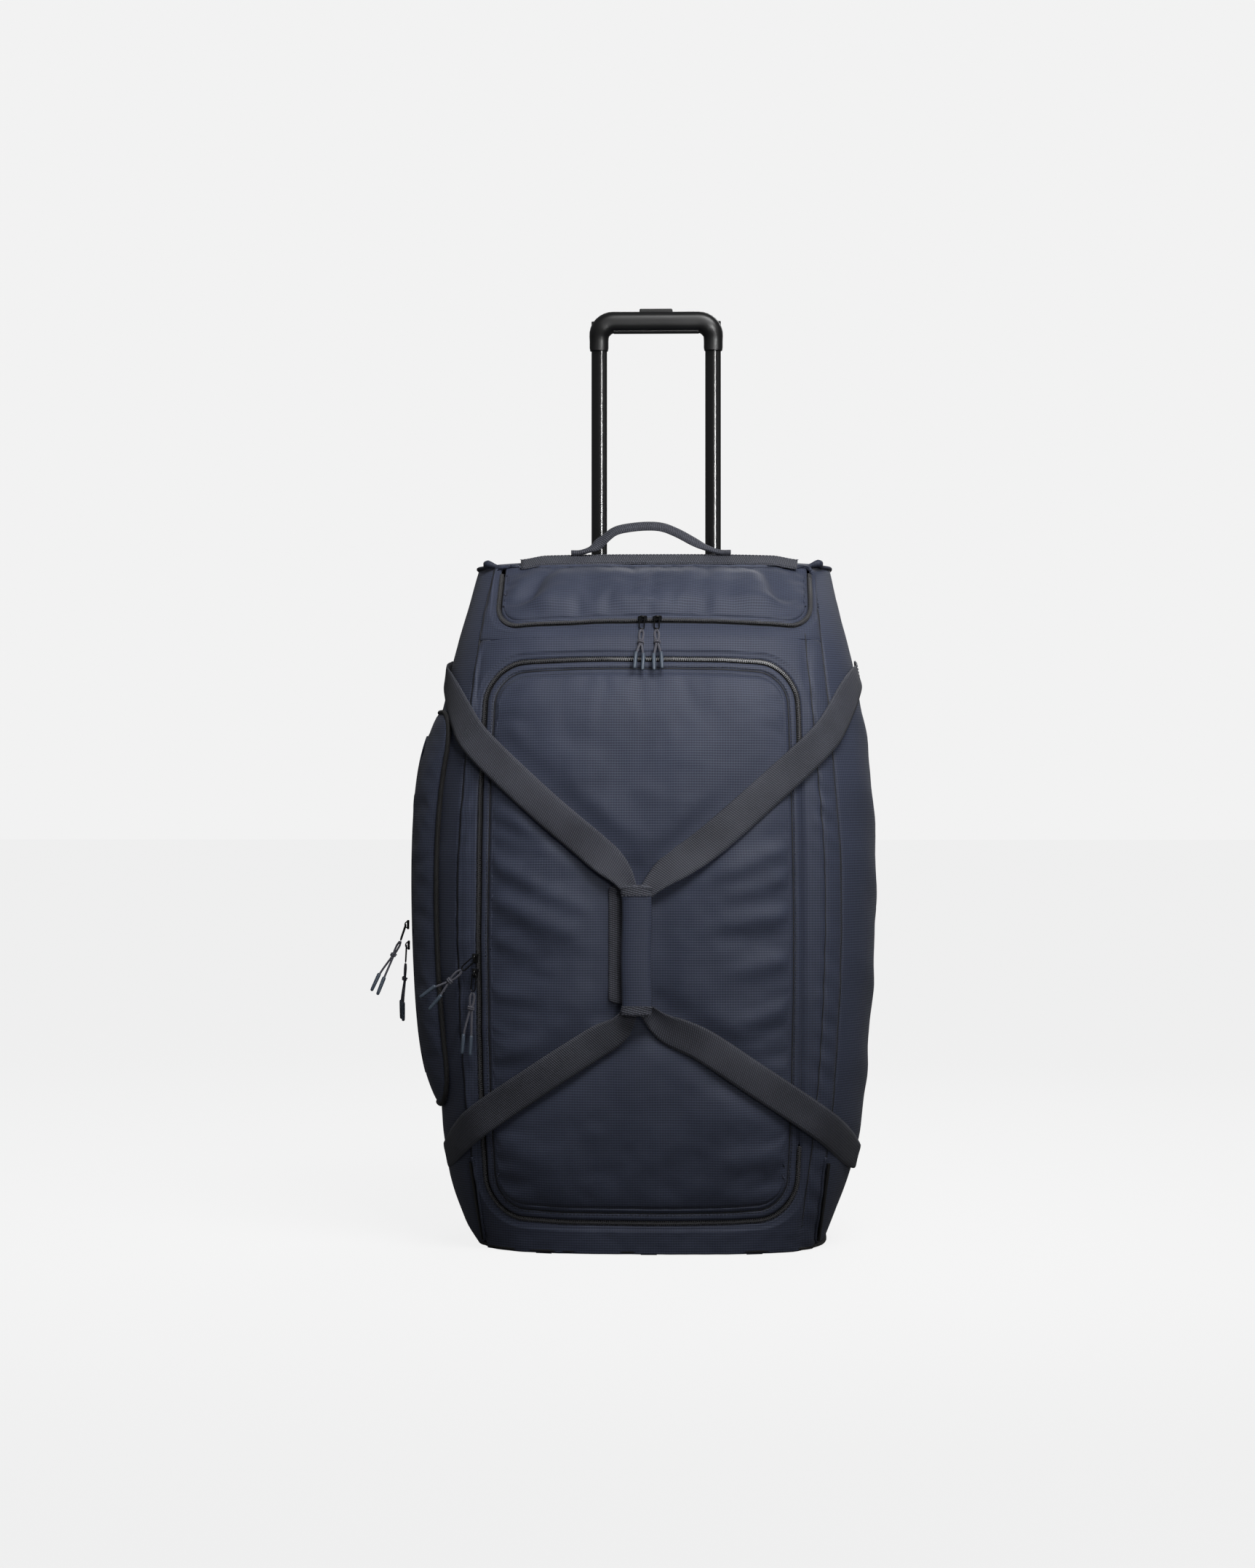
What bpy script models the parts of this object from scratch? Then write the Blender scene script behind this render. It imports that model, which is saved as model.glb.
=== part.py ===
"""Rolling duffel bag: a tall soft-sided bag on two wheels with a telescopic handle.

Metres, +Z up. The front, with the big lid, faces -Y. The origin is on the floor, under
the middle of the bag. Every wall is a patch of one rounded body surface.
"""

import math

import bmesh
import bpy
from mathutils import Vector

for old in list(bpy.data.objects):
    bpy.data.objects.remove(old, do_unlink=True)

# ---------------------------------------------------------------- driving dimensions
GAP = 0.0003  # between pieces that touch
FABRIC = 0.004  # wall of lined and padded fabric
SQUARENESS = 3.2  # exponent of the rounded body section
BACK_Y = 0.150  # outer face of the back panel
WALL_LOW = 0.0145  # where the fabric walls start, on the base tray
WALL_HIGH = 0.790  # where the walls end, under the top panel
WALL_ROWS = 18  # steps up the walls: the same on all, so that their seams match
TOP_CROWN = 0.008

# (height, value) along the body: half width, front face, half width of the front panel
HALF_WIDTH = [(0.0, 0.200), (0.10, 0.236), (0.22, 0.252), (0.40, 0.261), (0.54, 0.256),
              (0.66, 0.238), (0.73, 0.222), (0.80, 0.207)]
FRONT_Y = [(0.0, -0.162), (0.16, -0.186), (0.29, -0.195), (0.48, -0.195), (0.58, -0.187),
           (0.65, -0.172), (0.70, -0.146), (0.745, -0.100), (0.80, -0.020)]
FRONT_HALF = [(0.0, 0.190), (0.20, 0.212), (0.42, 0.219), (0.62, 0.205), (0.73, 0.194),
              (0.80, 0.186)]

LID_MIDDLE_X = -0.009
LID_HALF = 0.184  # to the zip, halfway up
LID_BARREL = 0.008  # how much narrower the lid is at its ends
LID_LOW, LID_HIGH = 0.037, 0.677
LID_CORNER = 0.045
FLAP_MIDDLE_X = 0.004
FLAP_HALF = 0.174
FLAP_LOW, FLAP_HIGH = 0.7215, 0.7835
FLAP_CORNER = 0.022
FLAP_TOP_STOP = 0.780
ZIP_WIDTH = 0.005
ZIP_RADIUS = 0.0021

TUBE_SPREAD = 0.1385  # between the two handle tubes
TUBE_Y = 0.128
TUBE_X, TUBE_Y_DEPTH = 0.019, 0.011  # inner tube section
TUBE_WALL = 0.0012
SLIDE_CLEARANCE = 0.0004
GRIP_HALF = 0.081
GRIP_LOW, GRIP_HIGH, GRIP_LEG_END = 1.084, 1.110, 1.062
GRIP_DEPTH = 0.030
GRIP_CORNER = 0.024
BUTTON_HALF = 0.020

WHEEL_RADIUS = 0.037
WHEEL_WIDTH = 0.024
WHEEL_X, WHEEL_Y = 0.171, 0.137
AXLE_RADIUS = 0.003

STRAP_WIDTH = 0.032
STRAP_THICK = 0.0024
STRAP_LIFT_RIGHT = 0.0095  # webbing centre above the body surface
STRAP_LIFT_LEFT = 0.0126
STRAP_SEWN_LIFT = 0.0045  # at the sewn end on the side panel
WRAP_X = (-0.029, 0.0045)
WRAP_Z = (0.2755, 0.421)
POCKET_Z = (0.165, 0.618)
POCKET_BULGE = 0.015
HANDLE_RISE = 0.031


# ---------------------------------------------------------------- materials
def material(name, rgb, roughness, metallic=0.0):
    found = bpy.data.materials.get(name)
    if found:
        return found
    made = bpy.data.materials.new(name)
    made.use_nodes = True
    shader = made.node_tree.nodes["Principled BSDF"]
    shader.inputs["Base Color"].default_value = (*rgb, 1.0)
    shader.inputs["Roughness"].default_value = roughness
    shader.inputs["Metallic"].default_value = metallic
    return made


RIPSTOP = material("ripstop", (0.040, 0.045, 0.065), 0.6)
WEBBING = material("webbing", (0.046, 0.050, 0.060), 0.7)
ZIP_BLACK = material("zip_coil", (0.008, 0.008, 0.009), 0.4)
BLACK_PLASTIC = material("black_plastic", (0.010, 0.010, 0.010), 0.35)
TUBE_METAL = material("black_tube", (0.012, 0.012, 0.012), 0.15, 0.9)
STEEL = material("steel", (0.45, 0.45, 0.46), 0.3, 1.0)
TYRE_RUBBER = material("tyre_rubber", (0.015, 0.015, 0.015), 0.8)
BOARD = material("frame_sheet", (0.10, 0.10, 0.11), 0.6)
CORD = material("pull_cord", (0.07, 0.08, 0.11), 0.8)


# ---------------------------------------------------------------- helpers
def along(table, at):
    """A smooth value between the (place, value) pairs of a table, by cubic Hermite spans."""
    if at <= table[0][0]:
        return table[0][1]
    if at >= table[-1][0]:
        return table[-1][1]
    last = len(table) - 1
    k = max(i for i in range(last) if table[i][0] <= at)

    def slope(i):
        low, high = max(i - 1, 0), min(i + 1, last)
        return (table[high][1] - table[low][1]) / (table[high][0] - table[low][0])

    span = table[k + 1][0] - table[k][0]
    t = (at - table[k][0]) / span
    a, b = table[k][1], table[k + 1][1]
    m, n = slope(k) * span, slope(k + 1) * span
    return (
        (2 * t**3 - 3 * t**2 + 1) * a + (t**3 - 2 * t**2 + t) * m
        + (3 * t**2 - 2 * t**3) * b + (t**3 - t**2) * n
    )


def section(z, out=0.0):
    """Half width, middle Y and half depth of the body at height z, grown by out."""
    front = along(FRONT_Y, z)
    return (
        along(HALF_WIDTH, z) + out,
        (BACK_Y + front) / 2,
        (BACK_Y - front) / 2 + out,
    )


def power(value, exponent):
    return math.copysign(abs(value) ** exponent, value)


def body_point(angle, z, out=0.0):
    """The body surface at an angle round the section (0 is +X, -90 degrees the front)."""
    half, middle, depth = section(z, out)
    return Vector((
        half * power(math.cos(angle), 2 / SQUARENESS),
        middle + depth * power(math.sin(angle), 2 / SQUARENESS),
        z,
    ))


def angle_at_x(x, z):
    half = section(z)[0]
    return -math.acos(max(-1.0, min(1.0, power(x / half, SQUARENESS / 2))))


def angle_at_y(y, z):
    _, middle, depth = section(z)
    return math.asin(max(-1.0, min(1.0, power((y - middle) / depth, SQUARENESS / 2))))


def front_point(x, z, out=0.0):
    return body_point(angle_at_x(x, z), z, out)


def side_point(side, y, z, out=0.0):
    found = body_point(angle_at_y(y, z), z, out)
    found.x *= side
    return found


def outward(point):
    """The body's outward direction near a point, level with the floor."""
    half, middle, depth = section(point.z)
    steep = SQUARENESS - 1
    return Vector((
        power(point.x / half, steep) / half,
        power((point.y - middle) / depth, steep) / depth,
        0.0,
    )).normalized()


def smooth_line(points, steps):
    """Points along a Catmull-Rom curve through the given ones."""
    made = []
    count = len(points)
    for i in range(count - 1):
        before = points[i - 1] if i else points[0] * 2 - points[1]
        after = points[i + 2] if i + 2 < count else points[-1] * 2 - points[-2]
        here, there = points[i], points[i + 1]
        for j in range(steps):
            t = j / steps
            made.append(0.5 * (
                2 * here + (there - before) * t
                + (2 * before - 5 * here + 4 * there - after) * t**2
                + (3 * here - before - 3 * there + after) * t**3
            ))
    made.append(points[-1].copy())
    return made


def finish(name, bm, look, smooth_degrees=35):
    bmesh.ops.recalc_face_normals(bm, faces=bm.faces)
    mesh = bpy.data.meshes.new(name)
    bm.to_mesh(mesh)
    bm.free()
    mesh.materials.append(look)
    mesh.shade_smooth()
    mesh.set_sharp_from_angle(angle=math.radians(smooth_degrees))
    made = bpy.data.objects.new(name, mesh)
    bpy.context.scene.collection.objects.link(made)
    return made


def set_origin(made, place):
    """Moves the object's origin to a place, and leaves its shape where it is."""
    for vert in made.data.vertices:
        vert.co -= Vector(place)
    made.location = place
    return made


def slab(name, outer, inner, look):
    """A closed sheet between two grids of points."""
    bm = bmesh.new()
    rows, columns = len(outer), len(outer[0])
    top = [[bm.verts.new(p) for p in row] for row in outer]
    under = [[bm.verts.new(p) for p in row] for row in inner]
    for i in range(rows - 1):
        for j in range(columns - 1):
            bm.faces.new((top[i][j], top[i][j + 1], top[i + 1][j + 1], top[i + 1][j]))
            bm.faces.new((under[i][j], under[i + 1][j], under[i + 1][j + 1], under[i][j + 1]))
    rim = [(0, j) for j in range(columns)] + [(i, columns - 1) for i in range(1, rows)]
    rim += [(rows - 1, j) for j in range(columns - 2, -1, -1)]
    rim += [(i, 0) for i in range(rows - 2, 0, -1)]
    for (i, j), (k, m) in zip(rim, rim[1:] + rim[:1], strict=True):
        bm.faces.new((top[i][j], under[i][j], under[k][m], top[k][m]))
    return finish(name, bm, look)


def sweep(name, rings, look, closed=False, smooth_degrees=35):
    """A solid through rings of points, with flat ends unless it is closed on itself."""
    bm = bmesh.new()
    made = [[bm.verts.new(p) for p in ring] for ring in rings]
    pairs = list(zip(made, made[1:], strict=False))
    if closed:
        pairs.append((made[-1], made[0]))
    for a, b in pairs:
        for i in range(len(a)):
            j = (i + 1) % len(a)
            bm.faces.new((a[i], a[j], b[j], b[i]))
    if not closed:
        bm.faces.new(made[0])
        bm.faces.new(made[-1])
    return finish(name, bm, look, smooth_degrees)


def tangents(path, closed=False):
    count = len(path)
    found = []
    for i in range(count):
        low = (i - 1) % count if closed else max(i - 1, 0)
        high = (i + 1) % count if closed else min(i + 1, count - 1)
        found.append((path[high] - path[low]).normalized())
    return found


def band(name, path, normals, width, thick, look):
    """A flat strip of webbing along a path, lying square to the normals."""
    rings = []
    for point, run, up in zip(path, tangents(path), normals, strict=True):
        up = (up - up.dot(run) * run).normalized()
        across = up.cross(run)
        w, t = across * width / 2, up * thick / 2
        rings.append([point - w - t, point + w - t, point + w + t, point - w + t])
    return sweep(name, rings, look)


def rod(name, path, normals, radius, look, sides=8, closed=False):
    """A round strip along a path. A radius may be a number or a list."""
    rings = []
    for k, (point, run, up) in enumerate(zip(path, tangents(path, closed), normals, strict=True)):
        r = radius[k] if isinstance(radius, list) else radius
        up = (up - up.dot(run) * run).normalized()
        across = up.cross(run)
        rings.append([
            point + r * (math.cos(a) * across + math.sin(a) * up)
            for a in (2 * math.pi * (i + 0.5) / sides for i in range(sides))
        ])
    return sweep(name, rings, look, closed, 60)


def box(name, low, high, look, bevel=0.0):
    bm = bmesh.new()
    bmesh.ops.create_cube(bm, size=1.0)
    for vert in bm.verts:
        vert.co = Vector([
            a if c < 0 else b for a, b, c in zip(low, high, vert.co, strict=True)
        ])
    if bevel:
        bmesh.ops.bevel(bm, geom=bm.edges[:], offset=bevel, segments=2, affect="EDGES",
                        profile=0.5)
    return finish(name, bm, look)


def prism(name, outline, axis, low, high, look):
    """An outline extruded along X, Y or Z. Its two numbers are the other two axes."""
    def place(pair, along_axis):
        a, b = pair
        return Vector({"X": (along_axis, a, b), "Y": (a, along_axis, b),
                       "Z": (a, b, along_axis)}[axis])
    rings = [[place(p, low) for p in outline], [place(p, high) for p in outline]]
    return sweep(name, rings, look, False, 40)


def turned(name, profile, centre, look, sides=32):
    """A solid turned about the X direction from (x, radius) pairs that close on themselves."""
    rings = [
        [Vector((centre[0] + x, centre[1] + r * math.cos(a), centre[2] + r * math.sin(a)))
         for x, r in profile]
        for a in (2 * math.pi * i / sides for i in range(sides))
    ]
    return sweep(name, rings, look, True)


def carve(made, cutter, operation="DIFFERENCE"):
    """A Boolean with a hidden cutter."""
    change = made.modifiers.new(cutter.name, "BOOLEAN")
    change.operation = operation
    change.object = cutter
    change.solver = "EXACT"
    cutter.hide_render = True
    cutter.display_type = "WIRE"
    return made


def rounded(x_low, x_high, z_low, z_high, corner, top_corner, barrel=0.0, steps=4):
    """A rounded rectangle as (x, z) pairs from its lower left corner, anticlockwise."""
    middle, half = (z_low + z_high) / 2, (z_high - z_low) / 2
    top = top_corner
    centres = [(x_low + corner, z_low + corner, 180), (x_high - corner, z_low + corner, 270),
               (x_high - top, z_high - top, 0), (x_low + top, z_high - top, 90)]
    found = []
    for cx, cz, start in centres:
        radius = corner if start >= 180 else top
        for i in range(steps + 1):
            a = math.radians(start + 90 * i / steps)
            found.append((cx + radius * math.cos(a), cz + radius * math.sin(a)))
        if start in (270, 90):  # the long sides get points between the corners
            low, high = (z_low + corner, z_high - top)
            rise = [low + (high - low) * i / 5 for i in range(1, 5)]
            if start == 270:
                found += [(x_high, z) for z in rise]
            else:
                found += [(x_low, z) for z in reversed(rise)]
    centre = (x_low + x_high) / 2

    def barrelled(x, z):
        narrow = barrel * ((z - middle) / half) ** 2
        share = (x - centre) / ((x_high - x_low) / 2)
        return x - share * narrow, z
    return [barrelled(x, z) for x, z in found]


# ---------------------------------------------------------------- fabric body
def patch(name, first, last, low, high, columns, rows, look=RIPSTOP, out=0.0, thick=FABRIC):
    """A piece of the body wall between two angles that may change with height."""
    def grid(offset):
        made = []
        for i in range(rows + 1):
            z = low + (high - low) * i / rows
            a, b = first(z), last(z)
            made.append([
                body_point(a + (b - a) * j / columns, z, offset) for j in range(columns + 1)
            ])
        return made
    return slab(name, grid(out), grid(out - thick), look)


def edge_angle(z, shift=0.0):
    """Angle of the right front edge seam, below zero."""
    return angle_at_x(along(FRONT_HALF, z) + shift, z)


def front_skin(name, low=WALL_LOW, high=WALL_HIGH, out=0.0, thick=FABRIC, rows=WALL_ROWS):
    """The front panel before the lid and the flap are cut out of it, even steps in X."""
    columns = 12

    def grid(offset):
        made = []
        for i in range(rows + 1):
            z = low + (high - low) * i / rows
            half = along(FRONT_HALF, z) - GAP
            made.append([
                body_point(angle_at_x(half * (2 * j / columns - 1), z), z, offset)
                for j in range(columns + 1)
            ])
        return made
    return slab(name, grid(out), grid(out - thick), RIPSTOP)


def lid_outline(grow):
    return rounded(LID_MIDDLE_X - LID_HALF - grow, LID_MIDDLE_X + LID_HALF + grow,
                   LID_LOW - grow, LID_HIGH + grow, LID_CORNER + grow,
                   LID_CORNER + grow, LID_BARREL)


def flap_outline(grow):
    return rounded(FLAP_MIDDLE_X - FLAP_HALF - grow, FLAP_MIDDLE_X + FLAP_HALF + grow,
                   FLAP_LOW - grow, FLAP_HIGH + 0.4 * grow, FLAP_CORNER + grow, 0.002)


def cutter(name, outline):
    return prism(name, outline, "Y", -0.30, 0.06, RIPSTOP)


def housing_box(name, side, grow=0.0):
    low = (0.140 - grow, 0.082 - grow, -0.01 if grow else 0.008)
    high = (0.202 + grow, 0.162 + grow, 0.086 + grow)
    xs = sorted((side * low[0], side * high[0]))
    return box(name, (xs[0], *low[1:]), (xs[1], *high[1:]), BLACK_PLASTIC,
               0.0 if grow else 0.003)


def build_walls():
    notches = [housing_box(f"cut_housing_{k}", side, GAP) for k, side in enumerate((-1, 1))]
    border = front_skin("front_border")
    carve(border, cutter("cut_lid", lid_outline(ZIP_WIDTH / 2)))
    carve(border, cutter("cut_flap", flap_outline(ZIP_WIDTH / 2)))
    lid = front_skin("lid", 0.030, 0.690, rows=WALL_ROWS)
    carve(lid, cutter("keep_lid", lid_outline(-ZIP_WIDTH / 2)), "INTERSECT")
    flap = front_skin("top_flap", 0.712, 0.7885, rows=6)
    carve(flap, cutter("keep_flap", flap_outline(-ZIP_WIDTH / 2)), "INTERSECT")
    turn = 0.0016  # of angle, which opens the gap beside each seam
    right = patch("right_side_panel", lambda z: edge_angle(z, GAP) + turn,
                  lambda z: -edge_angle(z, GAP) - turn, WALL_LOW, WALL_HIGH, 8, WALL_ROWS)
    left = patch("left_side_panel", lambda z: math.pi + edge_angle(z, GAP) + turn,
                 lambda z: math.pi - edge_angle(z, GAP) - turn, WALL_LOW, WALL_HIGH, 8, WALL_ROWS)
    back = patch("back_panel", lambda z: -edge_angle(z), lambda z: math.pi + edge_angle(z),
                 WALL_LOW, WALL_HIGH, 8, WALL_ROWS)
    for wall in (right, left, back):
        for notch in notches:
            carve(wall, notch)
    return notches


def build_top():
    rings, sides = 3, 32
    low = WALL_HIGH + GAP
    bm = bmesh.new()
    grids = []
    for under in (0.0, FABRIC):
        rows = []
        for i in range(1, rings + 1):
            share = i / rings
            z = low + FABRIC - under + TOP_CROWN * (1 - share**2)
            row = []
            for j in range(sides):
                p = body_point(2 * math.pi * j / sides, WALL_HIGH)
                middle = section(WALL_HIGH)[1]
                row.append(bm.verts.new((p.x * share, middle + (p.y - middle) * share, z)))
            rows.append(row)
        centre = bm.verts.new((0, section(WALL_HIGH)[1], low + FABRIC - under + TOP_CROWN))
        grids.append((centre, rows))
    for centre, rows in grids:
        for j in range(sides):
            k = (j + 1) % sides
            bm.faces.new((centre, rows[0][j], rows[0][k]))
            for i in range(rings - 1):
                bm.faces.new((rows[i][j], rows[i + 1][j], rows[i + 1][k], rows[i][k]))
    for j in range(sides):
        k = (j + 1) % sides
        a, b = grids[0][1][-1], grids[1][1][-1]
        bm.faces.new((a[j], b[j], b[k], a[k]))
    top = finish("top_panel", bm, RIPSTOP)
    carve(top, box("cut_bezel", (-0.0953, 0.1097, 0.77), (0.0953, 0.1423, 0.83), RIPSTOP))
    return top


def build_base(notches):
    """A tray with three skids that reach the floor."""
    skid, skid_half = 0.120, 0.011
    deck_low, deck_high = 0.006, WALL_LOW - GAP
    comb = [(-0.3, deck_low)]
    for x in (-skid, 0.0, skid):
        comb += [(x - skid_half, deck_low), (x - skid_half + 0.002, 0.0),
                 (x + skid_half - 0.002, 0.0), (x + skid_half, deck_low)]
    comb += [(0.3, deck_low), (0.3, deck_high), (-0.3, deck_high)]
    tray = prism("base_tray", comb, "Y", -0.3, 0.3, BLACK_PLASTIC)
    outline = [body_point(2 * math.pi * k / 48, 0.004).to_2d() for k in range(48)]
    carve(tray, prism("keep_tray", outline, "Z", -0.01, 0.02, BLACK_PLASTIC), "INTERSECT")
    for notch in notches:
        carve(tray, notch)
    divider = box("top_pocket_divider", (-0.180, -0.125, 0.668), (0.180, 0.112, 0.671), RIPSTOP)
    board = box("frame_board", (-0.165, 0.1155, 0.020), (0.165, 0.1185, 0.785), BOARD)
    for notch in notches:
        carve(board, notch)
    return tray, divider


def build_guards():
    """Plastic piping down the lower front corners."""
    for name, side in (("left_corner_guard", -1), ("right_corner_guard", 1)):
        path, normals = [], []
        for i in range(9):
            z = 0.010 + 0.092 * i / 8
            point = front_point(side * along(FRONT_HALF, z), z, 0.0027)
            path.append(point)
            normals.append(outward(point))
        rod(name, path, normals, 0.0021, BLACK_PLASTIC)


# ---------------------------------------------------------------- zips
def close_steps(pairs, step=0.03):
    """The same outline with no two points further apart than the step."""
    made = []
    for (x, z), (x_next, z_next) in zip(pairs, pairs[1:], strict=False):
        count = max(1, math.ceil(math.hypot(x_next - x, z_next - z) / step))
        made += [(x + (x_next - x) * i / count, z + (z_next - z) * i / count)
                 for i in range(count)]
    return made + [pairs[-1]]


def coil_strip(name, pairs, rise):
    """A strip along an outline on the front. Rise tips its section back on the slope."""
    path = [front_point(x, z) for x, z in close_steps(pairs)]
    normals = [(outward(p) + Vector((0, 0, rise))).normalized() for p in path]
    rod(name, path, normals, ZIP_RADIUS, ZIP_BLACK, 6)


def build_zips():
    """Coil strips that fill the gaps round the lid and the flap, open on the hinge side."""
    outline = lid_outline(0.0)
    stop = next(k for k, (x, z) in enumerate(outline) if x > 0.14 and z > 0.55)
    low_end = max(k for k, (x, z) in enumerate(outline) if x > 0.14 and z < 0.13)
    coil_strip("lid_zip", outline[stop:] + outline[:low_end + 1], 0.0)
    outline = flap_outline(0.0)
    bend = [k for k, (x, z) in enumerate(outline) if z < FLAP_LOW + FLAP_CORNER + 0.001]
    low_run = outline[:max(bend[:12]) + 1]
    left, right = low_run[0][0], low_run[-1][0]
    coil_strip("flap_zip", [(left, FLAP_TOP_STOP)] + low_run + [(right, FLAP_TOP_STOP)], 0.8)


# ---------------------------------------------------------------- side pocket
def pocket_out(y_share, z):
    """How far the pocket stands off the wall, over its width and its height."""
    height = (z - POCKET_Z[0]) / (POCKET_Z[1] - POCKET_Z[0])
    across = max(0.0, 1 - (2 * y_share - 1) ** 4)
    upright = max(0.0, 1 - (2 * height - 1) ** 6)
    return POCKET_BULGE * across * upright


def pocket_angles(z):
    front, back = -0.130, 0.110
    return math.pi - angle_at_y(front, z), math.pi - angle_at_y(back, z)


def build_pocket():
    rows, columns = 14, 9
    outer, inner = [], []
    for i in range(rows + 1):
        z = POCKET_Z[0] + (POCKET_Z[1] - POCKET_Z[0]) * i / rows
        first, last = pocket_angles(z)
        line, under = [], []
        for j in range(columns + 1):
            share = j / columns
            angle = first + (last - first) * share
            out = pocket_out(share, z)
            line.append(body_point(angle, z, out + 0.0030))
            under.append(body_point(angle, z, out * 0.96 + 0.0008))
        outer.append(line)
        inner.append(under)
    slab("side_pocket", outer, inner, RIPSTOP)
    path = [pocket_line(z) for z in (0.198 + 0.392 * i / 16 for i in range(17))]
    rod("pocket_zip", path, [outward(p) for p in path], ZIP_RADIUS, ZIP_BLACK, 6)


POCKET_ZIP_SHARE = 0.38


def pocket_line(z, lift=0.0058):
    first, last = pocket_angles(z)
    angle = first + (last - first) * POCKET_ZIP_SHARE
    return body_point(angle, z, pocket_out(POCKET_ZIP_SHARE, z) + lift)


# ---------------------------------------------------------------- sliders and their pulls
def build_slider(prefix, seat, normal, run):
    """A slider on a zip at a seat point, facing the normal, square to the zip's run."""
    across = normal.cross(run).normalized()
    bm = bmesh.new()
    bmesh.ops.create_cube(bm, size=1.0)
    for vert in bm.verts:
        a, b, c = vert.co
        vert.co = seat + across * a * 0.0076 + run * b * 0.0105 + normal * (c * 0.0024)
    bmesh.ops.bevel(bm, geom=bm.edges[:], offset=0.0006, segments=1, affect="EDGES")
    made = finish(f"{prefix}_slider", bm, ZIP_BLACK)
    return set_origin(made, seat)


def build_bail(prefix, seat, normal, hang, length=0.020):
    """A long wire ring that hangs from the slider."""
    across = normal.cross(hang).normalized()
    steps, half = 5, 0.0028
    path = []
    for end, turn in ((length - half, 0), (half, 180)):
        for i in range(steps):
            a = math.radians(turn + 180 * i / (steps - 1))
            path.append(seat + across * half * math.cos(a) + hang * (end + half * math.sin(a)))
    made = rod(f"{prefix}_bail", path, [normal] * len(path), 0.0007, ZIP_BLACK, 6, True)
    return set_origin(made, seat)


def build_cord(prefix, apex, tips):
    """A doubled cord that ends in two thicker tips: one tube, turning at the apex."""
    first, second = (Vector(t) for t in tips)
    one, two = (first - apex).normalized(), (second - apex).normalized()
    middle = (one + two).normalized()
    aside = (one - two).normalized()
    turn = 0.0026
    down = apex + middle * turn
    ends = (down + aside * turn + one * 0.004, down - aside * turn + two * 0.004)
    path = [first, first.lerp(ends[0], 0.12), first.lerp(ends[0], 0.50),
            first.lerp(ends[0], 0.54), first.lerp(ends[0], 0.8), ends[0]]
    for i in range(5):
        a = math.pi * i / 4
        path.append(down + aside * turn * math.cos(a) - middle * turn * math.sin(a))
    path += [ends[1], second.lerp(ends[1], 0.8), second.lerp(ends[1], 0.54),
             second.lerp(ends[1], 0.50), second.lerp(ends[1], 0.12), second]
    thin, thick, tip = 0.00125, 0.0023, 0.0016
    radii = [tip, thick, thick, thin, thin, thin]
    radii = radii + [thin] * 5 + radii[::-1]
    curve = bpy.data.curves.new(f"{prefix}_pull_cord", "CURVE")
    curve.dimensions = "3D"
    line = curve.splines.new("POLY")
    line.points.add(len(path) - 1)
    for point, place, r in zip(line.points, path, radii, strict=True):
        point.co = (*place, 1.0)
        point.radius = r / thin
    curve.bevel_depth = thin
    curve.bevel_resolution = 2
    curve.use_fill_caps = True
    curve.materials.append(CORD)
    made = bpy.data.objects.new(f"{prefix}_pull_cord", curve)
    bpy.context.scene.collection.objects.link(made)


def build_pull(prefix, seat, normal, run, hang, reach):
    """Slider, bail and cord. Reach holds the two tips, from the bail's end."""
    build_slider(prefix, seat, normal, run)
    hang = hang.normalized()
    eye = seat + normal * 0.0026
    build_bail(prefix, eye, normal, hang)
    apex = eye + hang * 0.0224
    build_cord(prefix, apex, [apex + Vector(r) for r in reach])


def build_pulls():
    up = Vector((0, 0, 1))
    for prefix, z, hang, reach in (
        ("lid_upper", 0.337, (-0.75, 0, -0.55), [(-0.046, -0.004, -0.030), (-0.036, -0.002, -0.044)]),
        ("lid_lower", 0.320, (-0.10, 0, -1.0), [(-0.012, -0.002, -0.068), (-0.003, -0.002, -0.070)]),
    ):
        x = LID_MIDDLE_X - LID_HALF
        seat = front_point(x, z, 0.0046)
        normal = outward(seat)
        hang = Vector(hang)
        hang -= hang.dot(normal) * normal
        build_pull(prefix, seat, normal, up, hang, reach)
    for prefix, x, reach in (
        ("flap_left", -0.0085, [(-0.007, -0.033, -0.044), (0.002, -0.033, -0.046)]),
        ("flap_right", 0.0085, [(-0.002, -0.033, -0.046), (0.007, -0.033, -0.044)]),
    ):
        base = front_point(x, FLAP_LOW, 0.0)
        normal = Vector((0, -0.72, 0.69))
        seat = base + normal * 0.0046
        build_pull(prefix, seat, normal, Vector((1, 0, 0)), Vector((0, -0.69, -0.72)), reach)
    for prefix, z, hang, reach in (
        ("pocket_upper", 0.370, (-0.30, -0.45, -1.0),
         [(-0.032, -0.012, -0.056), (-0.024, -0.022, -0.060)]),
        ("pocket_lower", 0.346, (-0.05, 0.05, -1.0),
         [(-0.006, 0.012, -0.064), (-0.003, 0.003, -0.066)]),
    ):
        seat = pocket_line(z, 0.0106)
        normal = outward(seat)
        build_pull(prefix, seat, normal, up, Vector(hang), reach)


# ---------------------------------------------------------------- straps and wrap
def build_strap(name, side, side_points, front_points, lift, tail):
    settle = [STRAP_SEWN_LIFT + (lift - STRAP_SEWN_LIFT) * k / len(side_points)
              for k in range(len(side_points))]
    points = [side_point(side, y, z, up) for (y, z), up in zip(side_points, settle, strict=True)]
    points += [front_point(side * x, z, lift) for x, z in front_points]
    points += [front_point(x, z, lift) for x, z in tail]
    path = smooth_line(points, 3)
    return band(name, path, [outward(p) for p in path], STRAP_WIDTH, STRAP_THICK, WEBBING)


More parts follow.
